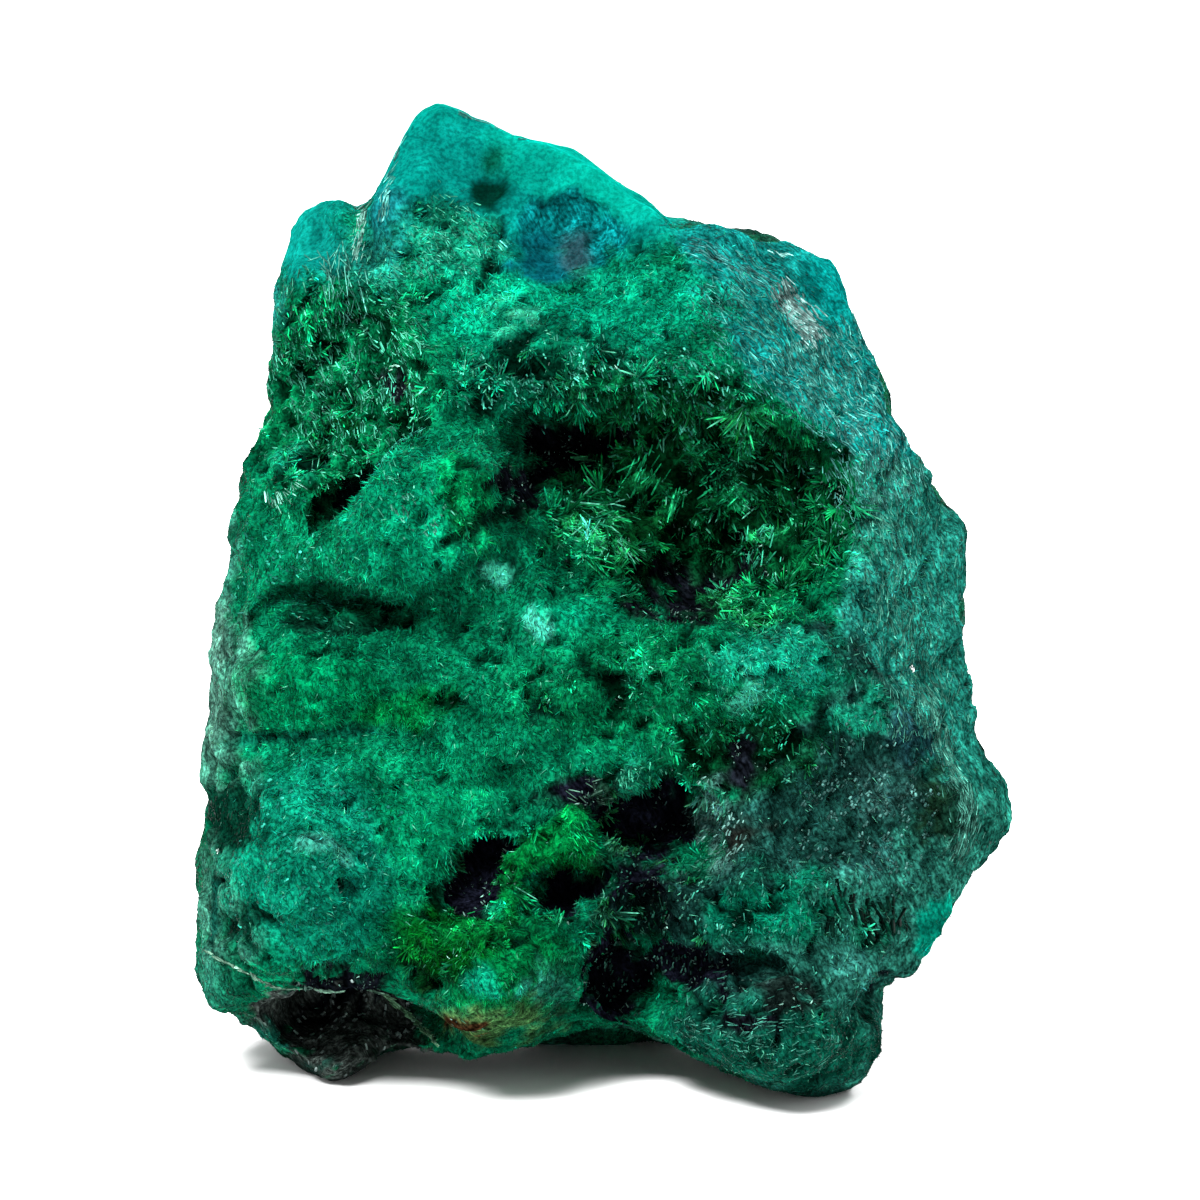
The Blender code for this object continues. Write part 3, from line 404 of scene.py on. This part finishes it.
# Fine crystals are found by looking at the stone from OUTSIDE (mm) and lie STROKE_LIFT (mm)
# over it. They lie only where it faces the viewer by LEAST_FACING, and slanted ones only
# where the felt is less broken than MOST_BROKEN. Their sizes vary about their line's.
OUTSIDE = 40
STROKE_LIFT = 0.02
LEAST_FACING = 0.25
MOST_BROKEN = 0.10
STROKE_LENGTHS = (0.35, 1.1)
STROKE_WIDTHS = (0.6, 1.3)
# How light a needle is at its foot (painted shade) and its tip (painted highlight), where its tip starts and
# how wide it is there
FOOT_SHADE = 0.45
TIP_HIGHLIGHT = 1.45
TIP_START = 0.86
TIP_SWELL = 0.8
# The light on the stone is stronger than the light that the colours were judged by.
DARKEN = 0.40
# The camera: the width of its view at the stone's middle, how far right of FACE_ORIGIN that
# middle is, and its lens, all in mm
VIEW_WIDTH = 54.5
VIEW_SHIFT = 0.45
LENS = 300


def smooth(t):
    """0 below 0 and 1 above 1, with a smooth rise between."""
    t = np.clip(t, 0, 1)
    return t * t * (3 - 2 * t)


def noise_at(points, size, shift):
    """Smooth noise, about -1 to 1, at each point. size is how wide its lumps are."""
    offset = Vector((shift, 2 * shift, 3 * shift))
    return np.array([noise.noise(Vector(point) / size + offset) for point in points])


def to_face(points):
    return (points - FACE_ORIGIN) @ FACE_AXES.T


def mesh_points(mesh):
    points = np.empty(3 * len(mesh.vertices))
    mesh.vertices.foreach_get("co", points)
    return points.reshape(-1, 3) / MM


def mesh_normals(mesh):
    normals = np.empty(3 * len(mesh.vertices))
    mesh.vertex_normals.foreach_get("vector", normals)
    return normals.reshape(-1, 3)


def footprint(place, zone):
    """How deep in an ellipse each place is: 1 at its middle, 0 on its edge, then negative."""
    turn = math.radians(zone.turn)
    u = place[:, 0] - zone.u
    v = place[:, 1] - zone.v
    along = (u * math.cos(turn) + v * math.sin(turn)) / zone.reach_u
    across = (v * math.cos(turn) - u * math.sin(turn)) / zone.reach_v
    return 1 - np.hypot(along, across)


def distance_to_line(place, points):
    """How far each place is from a line through points."""
    nearest = np.full(len(place), np.inf)
    for start, end in zip(points[:-1], points[1:]):
        start, end = np.array(start), np.array(end)
        step = end - start
        share = np.clip((place - start) @ step / (step @ step), 0, 1)
        off = np.linalg.norm(place - start - np.outer(share, step), axis=1)
        nearest = np.minimum(nearest, off)
    return nearest


def surface_look(face, facing):
    """The look at points of the face frame, a row each: the three parts of its colour, then
    cover, clear, coarse, pale and push.

    facing is how far each point looks towards the viewer, from -1 to 1.
    """
    stray = [
        sum(noise_at(face, size, shift + size) * far for size, far in STRAY)
        for shift in (4.1, 9.7)
    ]
    stray = np.column_stack(stray)
    look = np.tile(flat(BACK), (len(face), 1))
    patches = smooth((noise_at(face, 7.0, 2.2) + 0.05) * 3)
    front = np.maximum(smooth((face[:, 2] + facing * 4 + 1.5) / 3), patches * 0.75)
    for size, shift, part in MOTTLES:
        lay(look, smooth((noise_at(face, size, shift) - 0.12) * 4), part)
    lay(look, front, FRONT)
    fore = smooth((face[:, 2] + facing * 4 + 3.5 + 1.8 * noise_at(face, 2.2, 5.2)) / 3)
    for side in SIDES:
        slope = np.array(side.slope) / np.linalg.norm(side.slope)
        beyond = (face - np.array(side.at)) @ slope + stray[:, 0] * 0.5
        lay(look, smooth((beyond + 0.9) / 0.4) * fore, side.look)
    ragged_noise = sum(noise_at(face, size, 12.5 + size) * far for size, far in RAGGED)
    rims = np.zeros(len(face))
    # Sprays stand along the rims of the hollows painted black for shade.
    for zone in ZONES:
        place = face[:, :2] + stray * (1 - 0.7 * zone.look.clear)
        depth = footprint(place, zone) * min(zone.reach_u, zone.reach_v)
        ragged = depth + ragged_noise * (1 - 0.8 * zone.look.clear)
        mask = smooth(ragged / (zone.fade * min(zone.reach_u, zone.reach_v))) * fore
        lay(look, mask, zone.look)
        if zone.look is HOLLOW_SHADE:
            around = smooth(1 - np.abs(depth + 0.05) / 0.6) * fore
            rims = np.maximum(rims * (1 - mask), around * 0.6)
    look[:, COARSE] = np.maximum(look[:, COARSE], rims)
    # Painted shade along the creases, grooves and crevices.
    for shaded_crease in SHADED_CREASES:
        wide = shaded_crease.width * (1 + 0.7 * noise_at(face, 1.2, 6.6))
        off = distance_to_line(face[:, :2] + stray * 0.3, shaded_crease.points)
        lay(look, smooth(1.6 - off / np.maximum(wide, 0.02)) * fore * 0.9, shaded_crease.look)
    return look


def flat(look):
    return np.array([*look.colour, *look[1:]])


def lay(table, mask, look):
    """Mixes a look over the table where mask is 1."""
    table += mask[:, None] * (flat(look) - table)


def new_piece(name, mesh, look):
    piece = bpy.data.objects.new(name, mesh)
    bpy.context.scene.collection.objects.link(piece)
    mesh.materials.clear()
    mesh.materials.append(look)
    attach(piece, "root")
    return piece


def set_colours(mesh, colours):
    """Gives every vertex its linear colour, as the attribute zone_colour."""
    layer = mesh.color_attributes.new("zone_colour", "FLOAT_COLOR", "POINT")
    shown = np.column_stack([np.clip(colours * DARKEN, 0, 0.8), np.ones(len(colours))])
    layer.data.foreach_set("color", shown.ravel())


def set_values(mesh, name, values):
    mesh.attributes.new(name, "FLOAT", "POINT").data.foreach_set("value", values)


def stone_mesh(frame):
    """The CAD stone evened out to a fine grain."""
    holder = bpy.data.objects.new("holder", frame["nodes"]["host_rock"].data.copy())
    bpy.context.scene.collection.objects.link(holder)
    even = holder.modifiers.new("even", "REMESH")
    even.mode = "VOXEL"
    even.voxel_size = GRAIN * MM
    soften = holder.modifiers.new("soften", "SMOOTH")
    soften.iterations = 3
    graph = bpy.context.evaluated_depsgraph_get()
    mesh = bpy.data.meshes.new_from_object(holder.evaluated_get(graph), depsgraph=graph)
    bpy.data.objects.remove(holder)
    return mesh


def streaks(face):
    """Noise drawn out along the steep diagonal of the flank."""
    turn = COMB
    along = face[:, 0] * math.cos(turn) + face[:, 1] * math.sin(turn)
    across = face[:, 1] * math.cos(turn) - face[:, 0] * math.sin(turn)
    drawn = np.column_stack([along * 0.35, across * 2.2, face[:, 2] * 1.4])
    return noise_at(drawn + noise_at(face, 3.0, 1.0)[:, None] * 0.8, 1.0, 5.0)


def wander(face):
    """How far each point is pushed about in the face plane, so that hollows turn ragged."""
    free = smooth((face[:, 2] - 1.0) / 3) * smooth((face[:, 1] + 20) / 3)
    free *= smooth((15.5 - face[:, 1]) / 3)
    for axis, shift in ((0, 2.9), (1, 8.3)):
        push = sum(noise_at(face, size, shift + size) * far for size, far in WANDER)
        yield np.outer(push * free, FACE_AXES[axis])


def broken(face):
    """Noise that is high where the felt of needles is open."""
    return noise_at(face, 1.15, 7.7) + 0.6 * noise_at(face, 0.55, 3.3)


def roughened(mesh):
    """Gives the stone's surface its bumps and gaps, with painted shade in the gaps, and returns its look."""
    points = mesh_points(mesh)
    normals = mesh_normals(mesh)
    facing = normals @ FACE_AXES[2]
    points = points + sum(wander(to_face(points)))
    face = to_face(points)
    look = surface_look(face, facing)
    cover, clear, coarse, pale, push = look[:, 3:].T
    bare = (1 - cover) * (1 - clear)
    lift = sum(noise_at(face, size, size) * height for size, height in BUMPS)
    lift = lift * (1 - 0.85 * clear) + push
    streak = streaks(face)
    lift += streak * STRIATION * bare
    gap = smooth((broken(face) - 0.50 + 0.55 * coarse) / 0.22)
    gap *= smooth(cover * 1.8) * (1 - 0.6 * clear)
    lift -= gap * GAP_DEPTH + cover * FELT_DEPTH
    lift *= smooth(points[:, 2] / 1.0)
    mesh.vertices.foreach_set("co", ((points + normals * lift[:, None]) * MM).ravel())
    shade = sum(noise_at(face, size, shift) * strength for size, shift, strength in SHADES)
    shade *= (1 - 0.65 * clear) * (1 + 0.3 * coarse)
    shade += (0.5 * streak + 1.1 * noise_at(face, 0.5, 4.0)) * bare
    # The felt's gaps are darkened: painted shade in them, beside their real dip by GAP_DEPTH.
    look[:, :3] *= (np.exp(shade) * (1 - 0.92 * gap))[:, None]
    look[:, COVER] *= 1 - 0.85 * gap
    far = np.hypot(face[:, 0] / 15, (face[:, 1] + 1) / 19)
    inner = np.maximum(smooth((facing - 0.35) / 0.4), smooth((0.85 - far) / 0.12))
    look[:, COARSE] *= smooth(inner * 2 - 0.2)
    look = np.column_stack([look, facing, inner, gap])
    set_colours(mesh, look[:, :3])
    set_values(mesh, "clear", clear)
    set_values(mesh, "bare", bare)
    mesh.update()
    return look


def unit(vectors):
    return vectors / np.maximum(np.linalg.norm(vectors, axis=1), 1e-9)[:, None]


def scattered(mesh, look, amount, rng, wanted):
    """Random places on the mesh: point, normal and look. wanted thins them out by place."""
    points, normals = mesh_points(mesh), mesh_normals(mesh)
    mesh.calc_loop_triangles()
    corners = np.empty(3 * len(mesh.loop_triangles), dtype=int)
    mesh.loop_triangles.foreach_get("vertices", corners)
    corners = corners.reshape(-1, 3)
    a, b, c = (points[corners[:, k]] for k in range(3))
    area = np.linalg.norm(np.cross(b - a, c - a), axis=1) / 2
    area *= wanted[corners].mean(axis=1)
    count = int(area.sum() * amount)
    chosen = corners[rng.choice(len(corners), count, p=area / area.sum())]
    share = rng.dirichlet((1, 1, 1), count)
    point, normal, own = (
        np.einsum("nk,nkc->nc", share, table[chosen]) for table in (points, normals, look)
    )
    return point, unit(normal), own


def combed(points):
    """Which way the needles lean at each point: down to the right, with wide waves."""
    turn = COMB + 0.9 * noise_at(points, 5.0, 1.3) + 0.7 * noise_at(points, 1.6, 5.9)
    return np.outer(np.cos(turn), FACE_AXES[0]) + np.outer(np.sin(turn), FACE_AXES[1])


def needle_mesh(name, feet, aims, lengths, widths, sides, colours):
    """Sharp needles from feet along aims. Those with three sides are plain spikes, and the
    others are prisms with a tip. A needle has painted shade at its foot and a painted
    highlight at its tip.
    """
    count = len(feet)
    helper = np.where(np.abs(aims[:, [2]]) < 0.8, [[0, 0, 1.0]], [[1.0, 0, 0]])
    across = unit(np.cross(aims, helper))
    other = np.cross(aims, across)
    rings = []
    levels = [(0.0, 1.0)] if sides == 3 else [(0.0, 1.0), (TIP_START, TIP_SWELL)]
    for level, swell in levels:
        for k in range(sides):
            turn = math.tau * k / sides
            edge = (across * math.cos(turn) + other * math.sin(turn)) * (widths * swell / 2)[:, None]
            rings.append(feet + aims * (lengths * level)[:, None] + edge)
    rings.append(feet + aims * lengths[:, None])
    verts = np.stack(rings, axis=1)
    per = verts.shape[1]
    tip, top = per - 1, per - 1 - sides
    faces = [(top + k, top + (k + 1) % sides, tip) for k in range(sides)]
    if sides > 3:
        walls = [(k, (k + 1) % sides, sides + (k + 1) % sides, sides + k) for k in range(sides)]
        faces += [(w[0], w[1], w[2]) for w in walls] + [(w[0], w[2], w[3]) for w in walls]
    index = (np.arange(count)[:, None, None] * per + np.array(faces)[None]).reshape(-1, 3)
    mesh = bpy.data.meshes.new(name)
    mesh.vertices.add(count * per)
    mesh.vertices.foreach_set("co", (verts * MM).ravel())
    mesh.loops.add(index.size)
    mesh.loops.foreach_set("vertex_index", index.ravel())
    mesh.polygons.add(len(index))
    mesh.polygons.foreach_set("loop_start", np.arange(0, index.size, 3))
    mesh.update(calc_edges=True)
    shade = np.ones(per)
    shade[:sides] = FOOT_SHADE
    shade[-1] = TIP_HIGHLIGHT
    set_colours(mesh, (colours[:, None, :] * shade[None, :, None]).reshape(-1, 3))
    return mesh


def varied(colours, rng, spread, pale):
    """Each needle's colour: lighter or darker, yellower or bluer, and some pale as painted glints."""
    count = len(colours)
    light = rng.lognormal(0, spread, count)
    hue = rng.normal(0, 0.16, count)
    own = colours * np.column_stack([light, light, light * (1 - hue)])
    share = (rng.random(count) < pale) * rng.uniform(0.2, 0.9, count)
    return own + share[:, None] * (np.array(PALE_GLINT) - own)


def mineral(name, rough, gloss, grain):
    """A material with the zone colours, speckled by fine noise."""
    look = bpy.data.materials.new(name)
    look.use_nodes = True
    tree = look.node_tree
    shader = tree.nodes["Principled BSDF"]
    shader.inputs["Roughness"].default_value = rough
    shader.inputs["Specular IOR Level"].default_value = gloss
    shader.inputs["Specular Tint"].default_value = (0.3, 1.0, 0.85, 1)
    where = tree.nodes.new("ShaderNodeTexCoord").outputs["Object"]
    colour = tree.nodes.new("ShaderNodeAttribute")
    colour.attribute_name = "zone_colour"
    speckle = noise_node(tree, where, grain)
    tint = tree.nodes.new("ShaderNodeVectorMath")
    tint.operation = "SCALE"
    tree.links.new(colour.outputs["Color"], tint.inputs[0])
    tree.links.new(between(tree, speckle, 0.4, 1.8), tint.inputs["Scale"])
    tree.links.new(tint.outputs["Vector"], shader.inputs["Base Color"])
    return look


def noise_node(tree, where, grain):
    speckle = tree.nodes.new("ShaderNodeTexNoise")
    speckle.inputs["Scale"].default_value = 1 / (grain * MM)
    speckle.inputs["Detail"].default_value = 3
    speckle.inputs["Roughness"].default_value = 0.6
    tree.links.new(where, speckle.inputs["Vector"])
    return speckle.outputs["Fac"]


def between(tree, value, low, high):
    """Spreads a noise over low to high."""
    spread = tree.nodes.new("ShaderNodeMapRange")
    spread.inputs["From Min"].default_value = 0.38
    spread.inputs["From Max"].default_value = 0.62
    spread.inputs["To Min"].default_value = low
    spread.inputs["To Max"].default_value = high
    tree.links.new(value, spread.inputs["Value"])
    return spread.outputs["Result"]


def attribute(tree, name):
    node = tree.nodes.new("ShaderNodeAttribute")
    node.attribute_name = name
    return node.outputs["Fac"]


def mixed(tree, factor, first, second):
    """first where factor is 0 and second where it is 1, both numbers or sockets."""
    node = tree.nodes.new("ShaderNodeMix")
    tree.links.new(factor, node.inputs["Factor"])
    for socket, value in (("A", first), ("B", second)):
        if isinstance(value, float):
            node.inputs[socket].default_value = value
        else:
            tree.links.new(value, node.inputs[socket])
    return node.outputs["Result"]


def stone_material():
    """The zone colours, with a fibrous grain on bare stone and a clear, smooth crown."""
    look = mineral("stone", 0.5, 0.0, 0.20)
    tree = look.node_tree
    shader = tree.nodes["Principled BSDF"]
    where = tree.nodes["Texture Coordinate"].outputs["Object"]
    tint = tree.nodes["Vector Math"]
    speckle = tree.nodes["Noise Texture"].outputs["Fac"]
    drawn = tree.nodes.new("ShaderNodeMapping")
    drawn.vector_type = "TEXTURE"
    drawn.inputs["Rotation"].default_value = (0, math.radians(FIBRE_TURN), 0)
    drawn.inputs["Scale"].default_value = (1, 1, FIBRE_STRETCH)
    tree.links.new(where, drawn.inputs["Vector"])
    fibre = noise_node(tree, drawn.outputs["Vector"], FIBRE_WIDTH)
    bare = attribute(tree, "bare")
    clear = attribute(tree, "clear")
    woven = tree.nodes.new("ShaderNodeMath")
    woven.operation = "MULTIPLY"
    tree.links.new(between(tree, speckle, 0.4, 1.7), woven.inputs[0])
    tree.links.new(between(tree, fibre, 0.3, 1.9), woven.inputs[1])
    grain = mixed(tree, bare, between(tree, speckle, 0.4, 1.8), woven.outputs["Value"])
    grain = mixed(tree, clear, grain, between(tree, speckle, 0.75, 1.3))
    tree.links.new(grain, tint.inputs["Scale"])
    bump = tree.nodes.new("ShaderNodeBump")
    bump.inputs["Strength"].default_value = 0.6
    bump.inputs["Distance"].default_value = 0.10 * MM
    tree.links.new(mixed(tree, clear, mixed(tree, bare, speckle, fibre), 0.5), bump.inputs["Height"])
    tree.links.new(bump.outputs["Normal"], shader.inputs["Normal"])
    tree.links.new(clear, shader.inputs["Subsurface Weight"])
    shader.inputs["Subsurface Radius"].default_value = (0.1, 1.0, 0.85)
    shader.inputs["Subsurface Scale"].default_value = 1.6 * MM
    return look


def clumps(points):
    """How light the needles at each point are: they stand in light and dark clumps."""
    return np.exp(0.7 * noise_at(points, 0.36, 3.3) + 0.8 * noise_at(points, 0.9, 1.1))


def felt_pieces(stone, look, material, rng):
    """The short needles that lie matted over the stone, in bands from bottom to top."""
    points, normals, looks = scattered(stone, look, FELT, rng, look[:, COVER] ** 1.2)
    count = len(points)
    upright = 0.15 + 0.4 * looks[:, INNER]
    aims = unit(normals * upright[:, None] + combed(points) * 0.5 + rng.normal(0, 0.5, points.shape))
    sunk = np.sum(aims * normals, axis=1)
    raised = np.maximum(upright * 0.5 - sunk, 0) - np.maximum(sunk - upright * 2, 0)
    aims = unit(aims + normals * raised[:, None])
    lengths = rng.uniform(*FELT_LENGTH, count) * (0.3 + upright * 1.3)
    widths = rng.uniform(*FELT_WIDTH, count)
    spread = 0.38 + 0.3 * looks[:, COARSE]
    colours = varied(looks[:, :3] * clumps(points)[:, None] * 1.1, rng, spread, looks[:, PALENESS])
    feet = points - aims * FELT_ROOT
    above = (feet + aims * lengths[:, None])[:, 2] > LOWEST_TIP
    order = np.argsort(points[:, 2])
    order = order[above[order]]
    for band, part in enumerate(np.array_split(order, 3)):
        name = f"felt_{band + 1}"
        mesh = needle_mesh(name, feet[part], aims[part], lengths[part], widths[part], 3, colours[part])
        new_piece(name, mesh, material)


def stone_tree(stone):
    """The stone's surface in millimetres, to find places on it."""
    faces = [tuple(face.vertices) for face in stone.polygons]
    return BVHTree.FromPolygons(mesh_points(stone).tolist(), faces)


def spray_pieces(stone, look, tree, material, rng):
    """The long needles in radiating sprays, each spray from one root."""
    wanted = smooth((look[:, COARSE] - 0.2) / 0.6)
    wanted *= smooth(noise_at(mesh_points(stone), 1.3, 4.4) * 4 + 0.45)
    wanted *= 1 - 0.75 * look[:, GAP]
    roots, normals, looks = scattered(stone, look, SPRAYS, rng, wanted)
    each = SPRAY_NEEDLES
    count = len(roots)
    share = np.where(to_face(roots)[:, 0] < FIELD_EDGE, *LYING)
    lying = (rng.random(count) < share)[:, None]
    combs = combed(roots) * rng.uniform(-0.3, 0.9, (count, 1))
    combs = np.where(lying, combed(roots), combs)
    upright = unit(normals * np.where(lying, 0.35, 0.6) + combs)
    many = [np.repeat(table, each, axis=0) for table in (roots, normals, looks, upright, lying)]
    roots, normals, looks, upright, lying = many
    aims = unit(upright + rng.normal(0, 1, roots.shape) * np.where(lying, 0.25, 0.45))
    sunk = np.sum(aims * normals, axis=1)
    aims = unit(aims + normals * np.maximum(0.15 - sunk, 0)[:, None])
    size = np.repeat(np.clip(rng.lognormal(-0.5, 0.4, count), 0.2, 1.3), each)
    size *= (0.3 + 0.7 * looks[:, INNER]) * (0.4 + 0.6 * looks[:, COARSE])
    size *= np.where(lying[:, 0], 0.65, 1.0)
    lengths = SPRAY_LENGTH * size * rng.uniform(0.55, 1.0, len(aims))
    off = rng.normal(0, 1, aims.shape) * np.where(lying, 0.4, 0.12) * looks[:, [INNER]]
    feet = np.array([tree.find_nearest(Vector(place))[0] for place in roots + off])
    feet -= aims * SPRAY_ROOT
    hue = np.repeat(np.minimum(rng.lognormal(0.2, 0.7, count), 1.7), each)[:, None]
    tint = np.maximum(looks[:, :3], SPRAY_LEAST)
    colours = varied(np.minimum(tint * 1.7, 0.5) * hue, rng, 0.5, looks[:, PALENESS] * 1.5)
    widths = rng.uniform(*SPRAY_WIDTH, len(aims)) * np.where(lying[:, 0], 0.8, 1.0)
    above = (feet + aims * lengths[:, None])[:, 2] > LOWEST_TIP
    right = to_face(feet)[:, 0] > FIELD_EDGE
    for name, node, part in (
        ("vug_needles", "main_vug_crystals", right & above),
        ("field_needles", "upper_left_crystals", ~right & above),
    ):
        mesh = needle_mesh(name, feet[part], aims[part], lengths[part], widths[part], 4, colours[part])
        piece = new_piece(name, mesh, material)
        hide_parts(node)


def speck_piece(stone, look, material, rng):
    """Pale grains in the hollows painted black for shade and on the broken faces."""
    dark = smooth((SPECK_GREEN - look[:, GREEN]) / 0.006)
    dark *= (look[:, FACING] > -0.2) * (look[:, COVER] < 0.6)
    dark *= smooth(noise_at(mesh_points(stone), 1.1, 6.1) * 3)
    points, normals = scattered(stone, look, SPECKS, rng, dark)[:2]
    aims = unit(normals * 0.2 + rng.normal(0, 0.5, points.shape))
    widths = rng.uniform(*SPECK_WIDTH, len(points))
    lengths = widths * rng.uniform(0.8, 2.4, len(points))
    light = rng.lognormal(-0.3, 0.8, len(points))[:, None]
    colours = np.array(SPECK_COLOUR) * light
    above = points[:, 2] > 0.3
    kept = [table[above] for table in (points, aims, lengths, widths)]
    new_piece("specks", needle_mesh("specks", *kept, 3, colours[above]), material)


def stroke_spots(line, rng):
    """The place in the face plane and the slant of each crystal along a line of STROKES."""
    for start, end in zip(line.points[:-1], line.points[1:]):
        start, end = np.array(start), np.array(end)
        far = np.linalg.norm(end - start)
        across = np.array([start[1] - end[1], end[0] - start[0]]) / far
        along = math.atan2(*(end - start)[::-1])
        slant = along if line.turn is None else math.radians(line.turn)
        for _ in range(round(far * line.amount)):
            spot = start + (end - start) * rng.random() + across * rng.normal(0, line.spread)
            yield spot, slant + rng.normal(0, 0.08 + 0.25 * min(line.spread, 1))


def stroke_piece(tree, material, rng):
    """Fine crystals laid along the lines of STROKES. Slanted ones leave the gaps open."""
    viewer = Vector(FACE_AXES[2])
    feet, aims, lengths, widths, colours = [], [], [], [], []
    for line in STROKES:
        for spot, turn in stroke_spots(line, rng):
            above = FACE_ORIGIN + spot @ FACE_AXES[:2] + OUTSIDE * FACE_AXES[2]
            hit, normal = tree.ray_cast(Vector(above), -viewer)[:2]
            if hit is None or normal @ viewer < LEAST_FACING:
                continue
            if line.turn is not None and broken(to_face(np.array([hit])))[0] > MOST_BROKEN:
                continue
            aim = Vector(math.cos(turn) * FACE_AXES[0] + math.sin(turn) * FACE_AXES[1])
            aim = (aim - normal * (aim @ normal)).normalized()
            length = line.length * rng.uniform(*STROKE_LENGTHS)
            feet.append(hit - aim * length / 2 + normal * STROKE_LIFT)
            aims.append(aim)
            lengths.append(length)
            widths.append(line.width * rng.uniform(*STROKE_WIDTHS))
            colours.append(np.array(line.colour) * rng.lognormal(-0.05, 0.5))
    tables = [np.array(values) for values in (feet, aims, lengths, widths)]
    new_piece("strokes", needle_mesh("strokes", *tables, 4, np.array(colours)), material)


def light(name, place, size, power, colour):
    lamp = bpy.data.lights.new(name, "AREA")
    lamp.size = size
    lamp.energy = power
    lamp.color = colour
    holder = bpy.data.objects.new(name, lamp)
    holder.location = place
    aim = Vector((0, 0, 0.022)) - holder.location
    holder.rotation_euler = aim.to_track_quat("-Z", "Y").to_euler()
    bpy.context.scene.collection.objects.link(holder)


def studio():
    """A white floor, white surroundings, soft lights and a long lens."""
    ground = bpy.data.meshes.new("floor")
    ground.from_pydata([(-3, -3, 0), (3, -3, 0), (3, 3, 0), (-3, 3, 0)], [], [(0, 1, 2, 3)])
    floor = bpy.data.objects.new("floor", ground)
    bpy.context.scene.collection.objects.link(floor)
    paper = bpy.data.materials.new("paper")
    paper.use_nodes = True
    paper.node_tree.nodes["Principled BSDF"].inputs["Base Color"].default_value = (0.9, 0.9, 0.9, 1)
    paper.node_tree.nodes["Principled BSDF"].inputs["Roughness"].default_value = 0.9
    ground.materials.append(paper)
    world = bpy.data.worlds.new("surroundings")
    world.use_nodes = True
    world.node_tree.nodes["Background"].inputs["Color"].default_value = (1, 1, 1, 1)
    world.node_tree.nodes["Background"].inputs["Strength"].default_value = 1.0
    bpy.context.scene.world = world
    light("key", (-0.18, -0.52, 0.52), 0.22, 20.0, (1, 1, 1))
    light("back light", (0.35, 0.30, 0.45), 0.25, 5.0, (1, 1, 1))
    bpy.context.scene.view_settings.view_transform = "Standard"
    camera = bpy.data.cameras.new("camera")
    camera.lens = LENS
    camera.clip_start = 0.05
    holder = bpy.data.objects.new("camera", camera)
    reach = VIEW_WIDTH * MM * camera.lens / camera.sensor_width
    middle = (FACE_ORIGIN + VIEW_SHIFT * FACE_AXES[0]) * MM
    holder.location = middle + FACE_AXES[2] * reach
    holder.rotation_euler = (math.pi / 2 - LEAN, 0, 0)
    bpy.context.scene.collection.objects.link(holder)
    bpy.context.scene.camera = holder


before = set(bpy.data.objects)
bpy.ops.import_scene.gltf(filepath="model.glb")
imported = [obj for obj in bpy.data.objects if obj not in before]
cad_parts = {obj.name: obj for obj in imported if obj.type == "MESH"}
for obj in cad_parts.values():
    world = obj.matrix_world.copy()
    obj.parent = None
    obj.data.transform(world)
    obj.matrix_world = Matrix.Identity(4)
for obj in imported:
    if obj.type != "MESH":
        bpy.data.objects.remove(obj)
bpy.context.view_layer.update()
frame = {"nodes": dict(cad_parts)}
rng = np.random.default_rng(11)
stone = stone_mesh(frame)
look = roughened(stone)
piece = new_piece("stone", stone, stone_material())
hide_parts("host_rock")
needles = mineral("needles", 0.35, 0.02, 0.5)
felt_pieces(stone, look, needles, rng)
tree = stone_tree(stone)
spray_pieces(stone, look, tree, needles, rng)
speck_piece(stone, look, needles, rng)
stroke_piece(tree, needles, rng)
studio()
